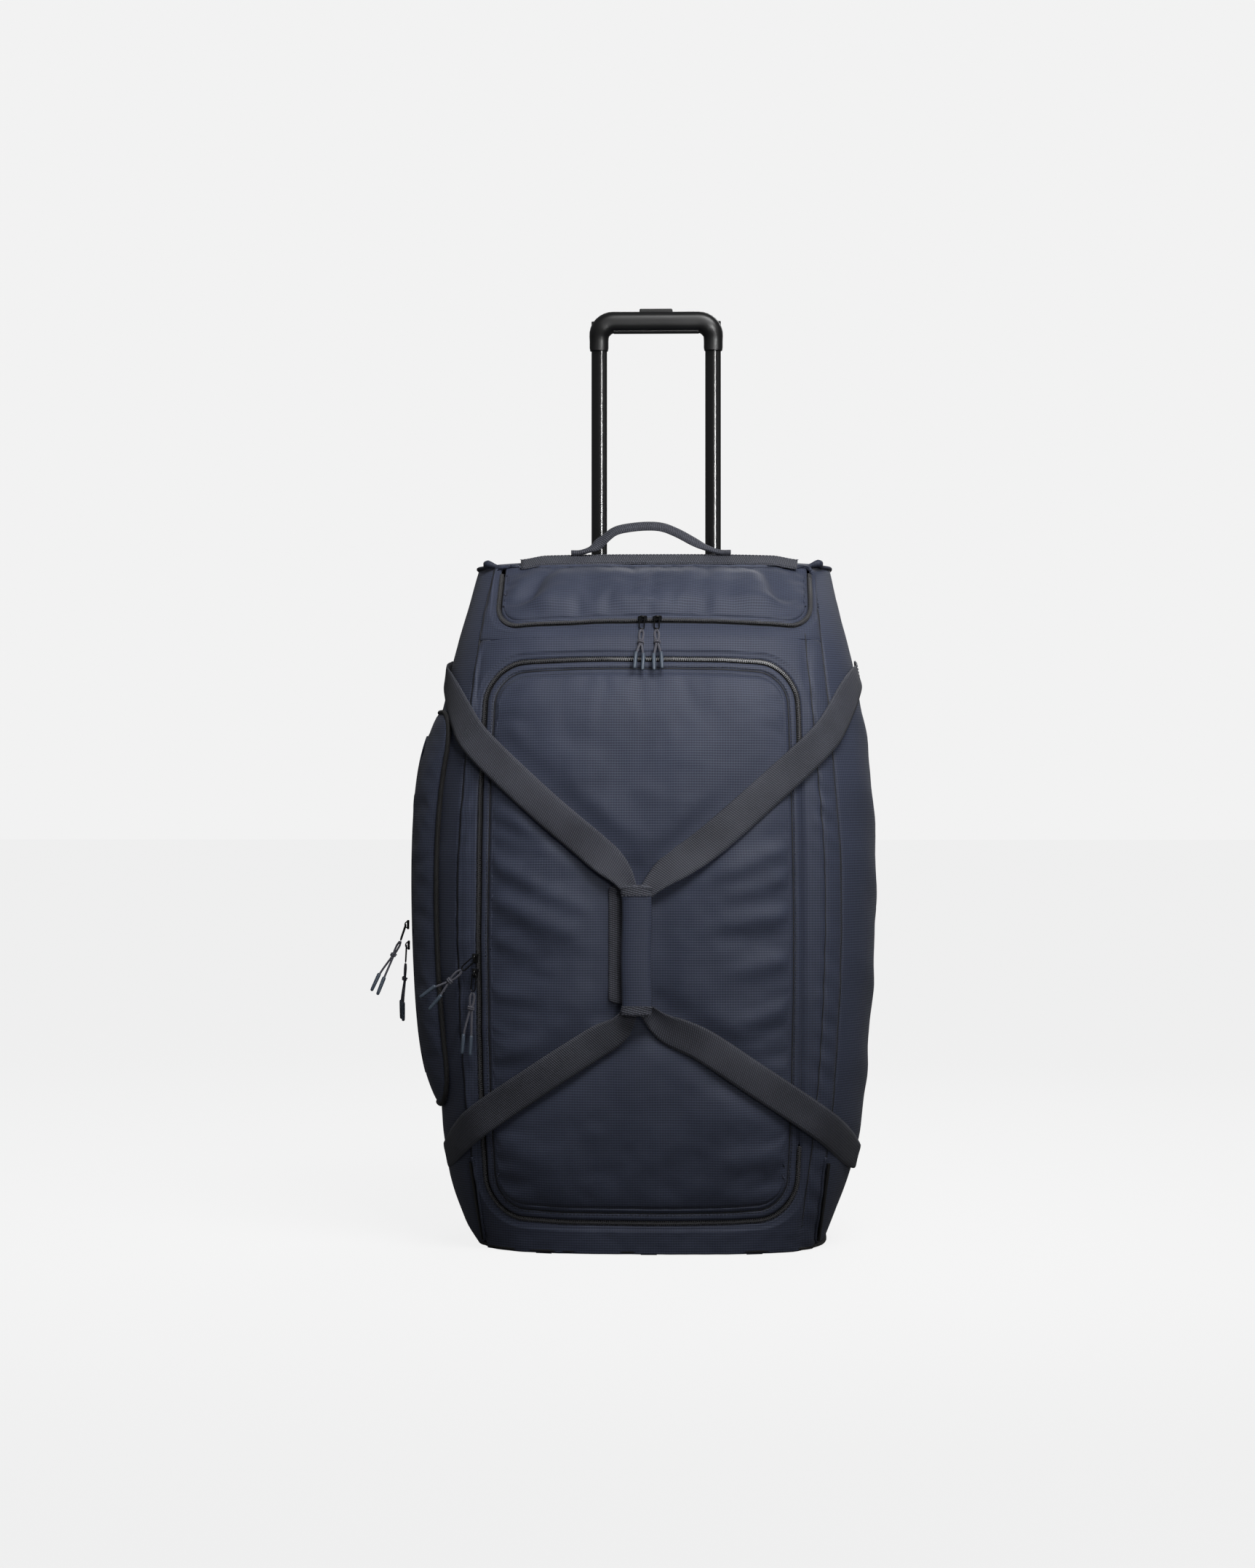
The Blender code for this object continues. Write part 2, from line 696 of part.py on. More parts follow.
def build_straps():
    upper_side = [(0.012, 0.668), (-0.040, 0.662), (-0.085, 0.652)]
    lower_side = [(0.012, 0.098), (-0.040, 0.101), (-0.085, 0.107)]
    for word, side, lift, x in (("left", -1, STRAP_LIFT_LEFT, -0.0125),
                                ("right", 1, STRAP_LIFT_RIGHT, -0.0125)):
        build_strap(f"strap_upper_{word}", side, upper_side,
                    [(0.212, 0.612), (0.185, 0.579), (0.114, 0.512), (0.060, 0.464)],
                    lift, [(side * 0.022 - 0.006, 0.432), (x, 0.395), (x, 0.365)])
        build_strap(f"strap_lower_{word}", side, lower_side,
                    [(0.212, 0.132), (0.182, 0.156), (0.114, 0.204), (0.060, 0.241)],
                    lift, [(side * 0.022 - 0.006, 0.264), (x, 0.300), (x, 0.330)])
    front = along(FRONT_Y, 0.35)
    box("wrap_front", (WRAP_X[0], front - 0.0265, WRAP_Z[0]),
        (WRAP_X[1], front - 0.0148, WRAP_Z[1]), RIPSTOP, 0.003)
    box("wrap_rear", (-0.042, front - 0.0056, 0.288), (0.002, front - 0.0018, WRAP_Z[1]), WEBBING)


def build_carry_handle():
    """A webbing loop over the top's front edge, on a band sewn along that edge."""
    y, foot = -0.012, 0.8090
    band_path = [Vector((-0.155 + 0.325 * i / 16, y, 0.0)) for i in range(17)]
    for p in band_path:
        half, middle, depth = section(WALL_HIGH)
        share = max(abs(p.x / half) ** SQUARENESS + abs((y - middle) / depth) ** SQUARENESS, 0)
        share = share ** (1 / SQUARENESS)
        p.z = WALL_HIGH + GAP + FABRIC + TOP_CROWN * (1 - share**2) + 0.0030
    band("handle_band", band_path, [Vector((0, 0, 1))] * 17, 0.024, 0.0022, WEBBING)
    rise = HANDLE_RISE
    points = [(-0.072, 0.0), (-0.060, 0.40), (-0.036, 0.85), (-0.004, 1.0), (0.028, 0.85),
              (0.052, 0.40), (0.064, 0.0)]
    path = smooth_line([Vector((x, y, foot + z * rise)) for x, z in points], 3)
    normals = [Vector((-t.z, 0, t.x)) for t in tangents(path)]
    loop = band("carry_handle", path, normals, 0.011, 0.007, WEBBING)
    set_origin(loop, (0, y, foot))


# ---------------------------------------------------------------- telescopic handle
def tube_ring(cx, cy, wide, deep, corner, z):
    found = []
    for sx, sy, start in ((1, 1, 0), (-1, 1, 90), (-1, -1, 180), (1, -1, 270)):
        for i in range(4):
            a = math.radians(start + 30 * i)
            found.append(Vector((
                cx + sx * (wide / 2 - corner) + corner * math.cos(a),
                cy + sy * (deep / 2 - corner) + corner * math.sin(a), z)))
    return found


def tube(name, cx, wide, deep, wall, low, high):
    """A hollow handle tube, open at both ends."""
    corner = 0.004
    outer = [tube_ring(cx, TUBE_Y, wide, deep, corner, z) for z in (low, high)]
    inner = [tube_ring(cx, TUBE_Y, wide - 2 * wall, deep - 2 * wall, corner - wall, z)
             for z in (high, low)]
    return sweep(name, outer + inner, TUBE_METAL, True)


def build_trolley():
    spare = 2 * SLIDE_CLEARANCE
    low, high, grip_seat = 0.035, 0.7985, 1.098
    sockets = []
    for word, side in (("left", -1), ("right", 1)):
        cx = side * TUBE_SPREAD / 2
        tube(f"{word}_outer_tube", cx, TUBE_X + spare + 2 * TUBE_WALL,
             TUBE_Y_DEPTH + spare + 2 * TUBE_WALL, TUBE_WALL, low, high - 0.010)
        tube(f"{word}_inner_tube", cx, TUBE_X, TUBE_Y_DEPTH, TUBE_WALL, 0.330, grip_seat)
        sockets.append(cx)
    bezel = box("trolley_bezel", (-0.095, 0.110, high - 0.0095), (0.095, 0.142, high + 0.0090),
                BLACK_PLASTIC, 0.0015)
    for k, cx in enumerate(sockets):
        ring = tube_ring(cx, TUBE_Y, TUBE_X + spare, TUBE_Y_DEPTH + spare, 0.0042, 0)
        carve(bezel, prism(f"cut_socket_{k}", [p.to_2d() for p in ring], "Z", 0.7, 0.9,
                           BLACK_PLASTIC))
    box("trolley_bottom_bracket", (-0.085, 0.1195, WALL_LOW), (0.085, 0.1375, low - GAP),
        BLACK_PLASTIC)
    build_grip(sockets, grip_seat)


def build_grip(sockets, seat):
    leg = 0.023
    y_low, y_high = TUBE_Y - GRIP_DEPTH / 2, TUBE_Y + GRIP_DEPTH / 2
    outline = [(-GRIP_HALF, GRIP_LEG_END), (-GRIP_HALF + leg, GRIP_LEG_END),
               (-GRIP_HALF + leg, GRIP_LOW), (GRIP_HALF - leg, GRIP_LOW),
               (GRIP_HALF - leg, GRIP_LEG_END), (GRIP_HALF, GRIP_LEG_END)]
    for cx, start in ((GRIP_HALF - GRIP_CORNER, 0), (-GRIP_HALF + GRIP_CORNER, 90)):
        for i in range(7):
            a = math.radians(start + 15 * i)
            outline.append((cx + GRIP_CORNER * math.cos(a),
                            GRIP_HIGH - GRIP_CORNER + GRIP_CORNER * math.sin(a)))
    grip = prism("grip_upper", outline, "Y", y_low, y_high, BLACK_PLASTIC)
    edge = grip.modifiers.new("soft edges", "BEVEL")
    edge.width = 0.003
    edge.segments = 2
    edge.limit_method = "ANGLE"
    edge.angle_limit = math.radians(50)
    bay = 0.0525
    carve(grip, box("cut_bay", (-bay, TUBE_Y - 0.0105, 1.05), (bay, TUBE_Y + 0.0105, 1.103),
                    BLACK_PLASTIC))
    carve(grip, box("cut_button", (-BUTTON_HALF - GAP, TUBE_Y - 0.0078, 1.09),
                    (BUTTON_HALF + GAP, TUBE_Y + 0.0078, 1.13), BLACK_PLASTIC))
    for k, cx in enumerate(sockets):
        ring = tube_ring(cx, TUBE_Y, TUBE_X + 2 * GAP, TUBE_Y_DEPTH + 2 * GAP, 0.0042, 0)
        carve(grip, prism(f"cut_grip_{k}", [p.to_2d() for p in ring], "Z", 1.0, seat + GAP,
                          BLACK_PLASTIC))
    floor = GRIP_LOW + 0.0040
    box("grip_lower", (-bay + GAP, TUBE_Y - 0.0105 + GAP, GRIP_LOW + 0.0002),
        (bay - GAP, TUBE_Y + 0.0105 - GAP, floor), BLACK_PLASTIC, 0.0008)
    button_low = 1.0975
    button = box("grip_button", (-BUTTON_HALF, TUBE_Y - 0.0075, button_low),
                 (BUTTON_HALF, TUBE_Y + 0.0075, GRIP_HIGH + 0.003), BLACK_PLASTIC, 0.0015)
    set_origin(button, (0, TUBE_Y, button_low))
    turns, coil, wire = 4, 0.0038, 0.00045
    low, high = floor + 0.0008, button_low - 0.0008
    steps = turns * 10
    path = []
    for i in range(steps + 1):
        a = 2 * math.pi * turns * i / steps
        path.append(Vector((coil * math.cos(a), TUBE_Y + coil * math.sin(a),
                            low + (high - low) * i / steps)))
    rod("button_spring", path, [Vector((0, 0, 1))] * len(path), wire, STEEL, 6)


# ---------------------------------------------------------------- wheels
def build_wheels():
    half = WHEEL_WIDTH / 2
    for word, side in (("left", -1), ("right", 1)):
        centre = (side * WHEEL_X, WHEEL_Y, WHEEL_RADIUS)
        housing = housing_box(f"{word}_wheel_housing", side)
        cave = sorted((side * 0.155, side * 0.187))
        carve(housing, box(f"cut_wheel_{word}", (cave[0], 0.0975, -0.01), (cave[1], 0.20, 0.0765),
                           BLACK_PLASTIC))
        ring = [(WHEEL_Y + (AXLE_RADIUS + GAP) * math.cos(a),
                 WHEEL_RADIUS + (AXLE_RADIUS + GAP) * math.sin(a))
                for a in (2 * math.pi * i / 24 for i in range(24))]
        ends = sorted((side * 0.13, side * 0.21))
        carve(housing, prism(f"cut_bolt_{word}", ring, "X", ends[0], ends[1], BLACK_PLASTIC))
        ring = [(WHEEL_Y + AXLE_RADIUS * math.cos(a), WHEEL_RADIUS + AXLE_RADIUS * math.sin(a))
                for a in (2 * math.pi * i / 24 for i in range(24))]
        ends = sorted((side * 0.1408, side * 0.2012))
        prism(f"{word}_axle", ring, "X", ends[0], ends[1], STEEL)
        bore = (AXLE_RADIUS + 0.00007) / math.cos(math.pi / 24)
        hub_out, rim = 0.0235, half - 0.0005
        hub = turned(f"{word}_hub", [(-rim, bore), (rim, bore), (rim, 0.009), (0.004, 0.012),
                                     (0.004, 0.019), (rim, hub_out), (-rim, hub_out),
                                     (-0.004, 0.019), (-0.004, 0.012), (-rim, 0.009)],
                     centre, BLACK_PLASTIC, 24)
        set_origin(hub, centre)
        inner = hub_out + GAP
        tyre = turned(f"{word}_tyre", [(-half, inner), (half, inner), (half, 0.033),
                                       (half - 0.0035, 0.0362), (half - 0.008, WHEEL_RADIUS),
                                       (-half + 0.008, WHEEL_RADIUS), (-half + 0.0035, 0.0362),
                                       (-half, 0.033)], centre, TYRE_RUBBER, 24)
        set_origin(tyre, centre)


def main():
    notches = build_walls()
    build_top()
    build_base(notches)
    build_guards()
    build_zips()
    build_pocket()
    build_pulls()
    build_straps()
    build_carry_handle()
    build_trolley()
    build_wheels()


main()
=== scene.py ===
"""Soft, fully finished look of the rolling duffel bag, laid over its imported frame.

Metres, +Z up, front towards -Y. The frame is loaded first, so that every size comes from it.
"""

import math

import bmesh
import bpy
from bpy.props import FloatProperty, FloatVectorProperty, PointerProperty
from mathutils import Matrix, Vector, noise


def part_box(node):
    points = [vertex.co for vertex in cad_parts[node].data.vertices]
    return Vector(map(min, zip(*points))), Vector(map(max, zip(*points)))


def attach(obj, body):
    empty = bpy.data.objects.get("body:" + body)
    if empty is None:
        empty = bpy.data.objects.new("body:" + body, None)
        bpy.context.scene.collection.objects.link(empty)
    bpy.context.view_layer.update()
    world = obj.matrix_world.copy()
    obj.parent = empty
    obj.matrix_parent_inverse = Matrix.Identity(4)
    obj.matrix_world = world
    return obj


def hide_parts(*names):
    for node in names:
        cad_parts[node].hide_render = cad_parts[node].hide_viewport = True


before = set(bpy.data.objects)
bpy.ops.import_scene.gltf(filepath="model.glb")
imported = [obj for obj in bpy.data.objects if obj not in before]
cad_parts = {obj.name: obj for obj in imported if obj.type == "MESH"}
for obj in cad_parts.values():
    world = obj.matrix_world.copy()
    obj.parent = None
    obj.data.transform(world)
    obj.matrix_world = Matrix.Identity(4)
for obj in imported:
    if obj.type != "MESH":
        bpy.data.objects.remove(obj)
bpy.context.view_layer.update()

bl_info = {
    "name": "Rolling duffel bag",
    "version": (1, 0, 0),
    "blender": (4, 5, 0),
    "location": "View3D > Sidebar > Duffel",
    "description": "Builds the fabric, webbing, zips and studio of a rolling duffel bag",
    "category": "Object",
}

# ------------------------------------------------------------ the body surface
SQUARENESS = 3.2
BACK_Y = 0.150
WALL_HIGH = 0.790
TOP_CROWN = 0.008
TOP_EDGE = WALL_HIGH + 0.0043  # the height of the top panel's rim
SKIRT_LOW = 0.0014  # where the cloth ends, over the base tray's edge
HALF_WIDTH = [(0.0, 0.200), (0.10, 0.236), (0.22, 0.252), (0.40, 0.261), (0.54, 0.256),
              (0.66, 0.238), (0.73, 0.222), (0.80, 0.207)]
FRONT_Y = [(0.0, -0.162), (0.16, -0.186), (0.29, -0.195), (0.48, -0.195), (0.58, -0.187),
           (0.65, -0.172), (0.70, -0.146), (0.745, -0.100), (0.80, -0.020)]
FRONT_HALF = [(0.0, 0.190), (0.20, 0.212), (0.42, 0.219), (0.62, 0.205), (0.73, 0.194),
              (0.80, 0.186)]
LID_MIDDLE_X, LID_HALF = -0.009, 0.184
LID_BARREL = 0.008
LID_LOW, LID_HIGH = 0.037, 0.677
LID_CORNER = 0.045
FLAP_MIDDLE_X, FLAP_HALF = 0.004, 0.174
FLAP_LOW = 0.7215
FLAP_CORNER = 0.022
FLAP_INSET = 0.0065  # from the flap's zip to its filled part
HINGE_LOW, HINGE_HIGH = 0.13, 0.56  # of the lid's sewn side, which has no zip
SIDES = (("left", -1), ("right", 1))
UP = Vector((0, 0, 1))
POCKET_Z = (0.165, 0.618)
POCKET_BULGE = 0.015
POCKET_ZIP_SHARE = 0.38


def along(table, at):
    """A smooth value between the (place, value) pairs of a table, by cubic Hermite spans."""
    if at <= table[0][0]:
        return table[0][1]
    if at >= table[-1][0]:
        return table[-1][1]
    last = len(table) - 1
    k = max(i for i in range(last) if table[i][0] <= at)

    def slope(i):
        low, high = max(i - 1, 0), min(i + 1, last)
        return (table[high][1] - table[low][1]) / (table[high][0] - table[low][0])

    span = table[k + 1][0] - table[k][0]
    t = (at - table[k][0]) / span
    a, b = table[k][1], table[k + 1][1]
    m, n = slope(k) * span, slope(k + 1) * span
    return (
        (2 * t**3 - 3 * t**2 + 1) * a + (t**3 - 2 * t**2 + t) * m
        + (3 * t**2 - 2 * t**3) * b + (t**3 - t**2) * n
    )


def section(z, out=0.0):
    """Half width, middle Y and half depth of the body at height z, grown by out."""
    front = along(FRONT_Y, z)
    return (
        along(HALF_WIDTH, z) + out,
        (BACK_Y + front) / 2,
        (BACK_Y - front) / 2 + out,
    )


def power(value, exponent):
    return math.copysign(abs(value) ** exponent, value)


def body_point(angle, z, out=0.0):
    """The body surface at an angle round the section (0 is +X, -90 degrees the front)."""
    half, middle, depth = section(z, out)
    return Vector((
        half * power(math.cos(angle), 2 / SQUARENESS),
        middle + depth * power(math.sin(angle), 2 / SQUARENESS),
        z,
    ))


def angle_at_x(x, z):
    half = section(z)[0]
    return -math.acos(max(-1.0, min(1.0, power(x / half, SQUARENESS / 2))))


def angle_at_y(y, z):
    _, middle, depth = section(z)
    return math.asin(max(-1.0, min(1.0, power((y - middle) / depth, SQUARENESS / 2))))


def front_base(x, z, out=0.0):
    return body_point(angle_at_x(x, z), z, out)


def spread(point, z):
    """How far out a point's X and Y lie in the section at height z."""
    wide, centre, deep = section(z)
    return (abs(point.x / wide) ** SQUARENESS
            + abs((point.y - centre) / deep) ** SQUARENESS) / SQUARENESS


def outward(point, sloped=True):
    """The body's true outward direction near a point, or that direction level with the floor."""
    half, middle, depth = section(point.z)
    steep = SQUARENESS - 1
    found = Vector((
        power(point.x / half, steep) / half,
        power((point.y - middle) / depth, steep) / depth,
        0.0,
    ))
    if sloped:
        step = 0.002
        found.z = (spread(point, point.z + step) - spread(point, point.z - step)) / (2 * step)
    return found.normalized()


def raised(point, out):
    return point + outward(point) * out


def front_point(x, z, out=0.0):
    return raised(front_base(x, z), out)


def ease(value, low, high):
    """0 below low, 1 above high, and smooth between."""
    t = max(0.0, min(1.0, (value - low) / (high - low)))
    return t * t * (3 - 2 * t)


def slope_length():
    """Heights and the length of the front's middle line up to each."""
    made, length = [(0.0, 0.0)], 0.0
    steps = 80
    for i in range(1, steps + 1):
        low, high = 0.8 * (i - 1) / steps, 0.8 * i / steps
        length += math.hypot(high - low, along(FRONT_Y, high) - along(FRONT_Y, low))
        made.append((high, length))
    return made


SLOPE = slope_length()


# ------------------------------------------------------------ settings
def body_colour(name, default, text):
    return FloatVectorProperty(name=name, description=text, default=default, size=3,
                               min=0.0, max=1.0, subtype="COLOR")


def length_of(name, default, text):
    return FloatProperty(name=name, description=text, default=default, min=0.0, max=0.1,
                         precision=4, unit="LENGTH")


class DuffelSizes(bpy.types.PropertyGroup):
    """Sizes of the soft parts."""

    lid_puff: length_of("Lid fill", 0.0042, "How far the padded lid stands proud")
    flap_puff: length_of("Top flap fill", 0.0105, "How far the top flap stands proud")
    wall_fold: length_of("Wall folds", 0.0030, "Depth of the soft folds in the walls")
    cloth_cap: length_of("Settling limit", 0.0042, "The furthest the cloth may settle")
    fabric_thick: length_of("Fabric", 0.0022, "Thickness of the lined fabric")
    strap_thick: length_of("Webbing", 0.0019, "Thickness of the carry straps")
    cord_diameter: length_of("Pull cord", 0.0025, "Diameter of the cords on the zip pulls")


class DuffelColours(bpy.types.PropertyGroup):
    """Colours of the finishes."""

    fabric: body_colour("Fabric", (0.0275, 0.0330, 0.0550), "Ripstop fabric of the body")
    webbing: body_colour("Webbing", (0.0365, 0.0385, 0.0495), "Straps, handle and bands")
    cord: body_colour("Pull cord", (0.085, 0.085, 0.110), "Braided cord of the zip pulls")
    tip: body_colour("Cord tips", (0.050, 0.066, 0.090), "Moulded tips of the cords")
    black: body_colour("Black", (0.0070, 0.0070, 0.0075), "Zips and moulded plastic")


class DuffelStage(bpy.types.PropertyGroup):
    """Light and floor."""

    floor: body_colour("Floor", (0.88, 0.88, 0.88), "Pale studio floor")
    key: FloatProperty(name="Top light", description="Power of the large light above",
                       default=8.3, min=0.0, unit="POWER")
    fill: FloatProperty(name="Side light", description="Power of the tall side lights",
                        default=1.0, min=0.0, unit="POWER")
    ambient: FloatProperty(name="Room light", description="Strength of the even light",
                           default=0.15, min=0.0)


# ------------------------------------------------------------ materials
class Look:
    """A material under construction, with short ways to add and join its nodes."""

    def __init__(self, name, colour, roughness, metallic=0.0, **uniform):
        self.made = bpy.data.materials.new(name)
        self.made.use_nodes = True
        self.tree = self.made.node_tree
        self.shader = self.tree.nodes["Principled BSDF"]
        self.set("Base Color", (*colour, 1.0))
        self.set("Roughness", roughness)
        self.set("Metallic", metallic)
        for socket, value in uniform.items():
            self.set(socket.replace("_", " "), value)
        self.height = None
        self.made.diffuse_color = (*colour, 1.0)

    def set(self, socket, value):
        self.shader.inputs[socket].default_value = value

    def node(self, kind, **values):
        made = self.tree.nodes.new("ShaderNode" + kind)
        for key, value in values.items():
            if key.startswith("in_"):
                made.inputs[int(key[3:])].default_value = value
            else:
                setattr(made, key, value)
        return made

    def join(self, source, target):
        self.tree.links.new(source, target)

    def math(self, operation, a, b=None, c=None):
        made = self.node("Math", operation=operation)
        for slot, value in enumerate((a, b, c)):
            if value is None:
                continue
            if isinstance(value, (int, float)):
                made.inputs[slot].default_value = value
            else:
                self.join(value, made.inputs[slot])
        return made.outputs[0]

    def weave_place(self):
        """Across and along the cloth, in metres."""
        place = self.node("UVMap", uv_map="Weave")
        parts = self.node("SeparateXYZ")
        self.join(place.outputs[0], parts.inputs[0])
        return place.outputs[0], parts.outputs[0], parts.outputs[1]

    def own_place(self):
        return self.node("TexCoord").outputs["Object"]

    def ripple(self, at, pitch, sharp=1.0):
        """A row of rounded ribs along a coordinate, from 0 to 1."""
        turn = self.math("MULTIPLY", at, 2 * math.pi / pitch)
        wave = self.math("MULTIPLY_ADD", self.math("SINE", turn), 0.5, 0.5)
        return self.math("POWER", wave, sharp) if sharp != 1.0 else wave

    def grain(self, place, scale, detail=4.0, roughness=0.55):
        made = self.node("TexNoise", noise_dimensions="3D")
        made.inputs["Scale"].default_value = scale
        made.inputs["Detail"].default_value = detail
        made.inputs["Roughness"].default_value = roughness
        self.join(place, made.inputs["Vector"])
        return made.outputs["Fac"]

    def span(self, value, low, high, to_low, to_high):
        made = self.node("MapRange", in_1=low, in_2=high, in_3=to_low, in_4=to_high)
        self.join(value, made.inputs[0])
        return made.outputs[0]

    def tint(self, value, dark, light):
        made = self.node("MixRGB", blend_type="MIX")
        made.inputs[1].default_value = (*dark, 1.0)
        made.inputs[2].default_value = (*light, 1.0)
        self.join(value, made.inputs[0])
        return made.outputs[0]

    def bump(self, height, distance, strength=1.0):
        made = self.node("Bump")
        made.inputs["Strength"].default_value = strength
        made.inputs["Distance"].default_value = distance
        self.join(height, made.inputs["Height"])
        if self.height is not None:
            self.join(self.height, made.inputs["Normal"])
        self.height = made.outputs[0]
        self.join(self.height, self.shader.inputs["Normal"])

    def colour_from(self, source):
        self.join(source, self.shader.inputs["Base Color"])

    def rough_from(self, source):
        self.join(source, self.shader.inputs["Roughness"])


def shade(colour, factor):
    return tuple(min(1.0, c * factor) for c in colour)


def ripstop_look(name, colour, lift=1.0):
    """Plain-woven nylon with a raised grid of thicker threads, strongest across."""
    look = Look(name, colour, 0.62, Sheen_Weight=0.04, Specular_IOR_Level=0.32)
    place, across, up = look.weave_place()
    rib = look.ripple(up, 0.0029, 2.0)
    post = look.ripple(across, 0.0029, 3.0)
    thread = look.math("MULTIPLY", look.ripple(across, 0.00052), look.ripple(up, 0.00048))
    cloud = look.grain(place, 14.0)
    speckle = look.grain(place, 900.0, 2.0)
    ribs = look.math("MULTIPLY", rib, 0.40 * lift)
    grid = look.math("MULTIPLY_ADD", post, 0.22 * lift, ribs)
    mixed = look.math("MULTIPLY_ADD", cloud, 0.22, grid)
    mixed = look.math("MULTIPLY_ADD", speckle, 0.34, mixed)
    look.colour_from(look.tint(mixed, shade(colour, 0.42), shade(colour, 2.1)))
    look.rough_from(look.span(mixed, 0.0, 1.0, 0.72, 0.50))
    look.bump(look.grain(place, 60.0, 3.0), 0.0008, 0.22)
    look.bump(grid, 0.00035, 0.75)
    look.bump(thread, 0.00008, 0.35)
    return look.made


def webbing_look(name, colour, pitch=0.0023, contrast=1.0):
    """Heavy flat webbing: close cross ribs over a diagonal twill, and tighter edges."""
    look = Look(name, colour, 0.66, Sheen_Weight=0.04, Specular_IOR_Level=0.35)
    place, across, run = look.weave_place()
    slant = look.math("MULTIPLY_ADD", across, 0.25, run)
    ribs = look.ripple(slant, pitch, 1.4)
    lines = look.ripple(across, pitch * 1.25, 1.6)
    cloth = look.math("MULTIPLY", ribs, look.math("MULTIPLY_ADD", lines, 0.5, 0.5))
    cloud = look.grain(place, 22.0)
    mixed = look.math("MULTIPLY_ADD", cloud, 0.36, look.math("MULTIPLY", cloth, 0.62 * contrast))
    look.colour_from(look.tint(mixed, shade(colour, 0.25), shade(colour, 2.9)))
    look.rough_from(look.span(cloth, 0.0, 1.0, 0.74, 0.55))
    look.bump(cloth, 0.0006, 0.8)
    look.bump(look.grain(place, 1400.0, 2.0), 0.00008, 0.3)
    return look.made


def thread_look(name, colour):
    """Twisted sewing thread."""
    look = Look(name, colour, 0.6, Sheen_Weight=0.1)
    place = look.own_place()
    fibre = look.grain(place, 1800.0, 2.0)
    look.colour_from(look.tint(fibre, shade(colour, 0.6), shade(colour, 1.5)))
    look.bump(fibre, 0.0001, 0.5)
    return look.made


def moulded_look(name, colour, roughness, scale=420.0, depth=0.00006):
    """Moulded plastic with fine spark texture and small changes of gloss."""
    look = Look(name, colour, roughness)
    place = look.own_place()
    spark = look.grain(place, scale, 3.0)
    wear = look.grain(place, 9.0)
    look.colour_from(look.tint(wear, shade(colour, 0.8), shade(colour, 1.5)))
    look.rough_from(look.span(wear, 0.25, 0.75, roughness - 0.06, roughness + 0.08))
    look.bump(spark, depth, 0.5)
    return look.made


def metal_look(name, colour, roughness, metallic=1.0, scale=(300.0, 300.0, 6.0),
               depth=0.00002, change=0.05):
    """Drawn metal with faint long marks."""
    look = Look(name, colour, roughness, metallic, Specular_IOR_Level=0.6)
    place = look.node("Mapping")
    look.join(look.own_place(), place.inputs[0])
    place.inputs["Scale"].default_value = scale
    marks = look.grain(place.outputs[0], 1.0, 3.0)
    look.rough_from(look.span(marks, 0.3, 0.7, roughness - change, roughness + change))
    look.colour_from(look.tint(marks, shade(colour, 0.85), shade(colour, 1.2)))
    look.bump(marks, depth, 0.3)
    return look.made


def rubber_look(name, colour):
    look = Look(name, colour, 0.82)
    place = look.own_place()
    dust = look.grain(place, 45.0)
    look.colour_from(look.tint(dust, shade(colour, 0.7), shade(colour, 2.2)))
    look.rough_from(look.span(dust, 0.3, 0.7, 0.74, 0.92))
    look.bump(look.grain(place, 700.0, 3.0), 0.0001, 0.5)
    return look.made


def braid_look(name, colour):
    """Braided cord: two opposed spirals of strands along its length."""
    look = Look(name, colour, 0.7, Sheen_Weight=0.2)
    place = look.own_place()
    parts = look.node("SeparateXYZ")
    look.join(place, parts.inputs[0])
    flat = look.math("ADD", parts.outputs[0], parts.outputs[1])
    one = look.ripple(look.math("MULTIPLY_ADD", flat, 1.1, parts.outputs[2]), 0.0012, 1.2)
    other = look.ripple(look.math("MULTIPLY_ADD", flat, -1.1, parts.outputs[2]), 0.0012, 1.2)
    strands = look.math("MULTIPLY", one, other)
    look.colour_from(look.tint(strands, shade(colour, 0.55), shade(colour, 1.5)))
    look.rough_from(look.span(strands, 0.0, 1.0, 0.8, 0.62))
    look.bump(strands, 0.00018, 0.6)
    return look.made


LOOKS = {}


def looks():
    """The finishes, made once."""
    if LOOKS:
        return LOOKS
    tones = bpy.context.scene.duffel_colours
    fabric, webbing = tuple(tones.fabric), tuple(tones.webbing)
    black = tuple(tones.black)
    LOOKS.update(
        ripstop=ripstop_look("ripstop cloth", fabric),
        lining=ripstop_look("lining cloth", shade(fabric, 1.7), 0.5),
        binding=ripstop_look("bound edge", shade(fabric, 0.8), 0.6),
        webbing=webbing_look("strap webbing", webbing),
        heavy=webbing_look("coarse band webbing", shade(webbing, 1.0), 0.0024, 1.2),
        tape=webbing_look("zip tape", shade(black, 1.2), 0.0011, 0.8),
        # Zip teeth: the black plastic lifted 7.5 times in colour, a painted highlight for the
        # glints along the coil.
        teeth=moulded_look("zip teeth", shade(black, 7.5), 0.26, 600.0),
        seam=thread_look("seam shadow thread", shade(fabric, 0.16)),
        stitch=thread_look("stitching thread", shade(webbing, 1.9)),
        plastic=moulded_look("black plastic", black, 0.42),
        satin=moulded_look("satin grip plastic", shade(black, 0.7), 0.34, 500.0),
        tip=moulded_look("cord tip plastic", tuple(tones.tip), 0.40, 700.0),
        tube=metal_look("black drawn tube", shade(black, 0.55), 0.17, 0.0,
                        (20.0, 20.0, 2.0), 0.0000005, 0.015),
        glossy=metal_look("black enamelled metal", shade(black, 1.3), 0.22, 0.5,
                          (400.0, 400.0, 400.0)),
        steel=metal_look("steel", (0.42, 0.42, 0.43), 0.32),
        board=moulded_look("board sheet", (0.090, 0.090, 0.094), 0.6, 120.0),
        rubber=rubber_look("tyre rubber", shade(black, 1.6)),
        cord=braid_look("braided cord", tuple(tones.cord)),
    )
    return LOOKS


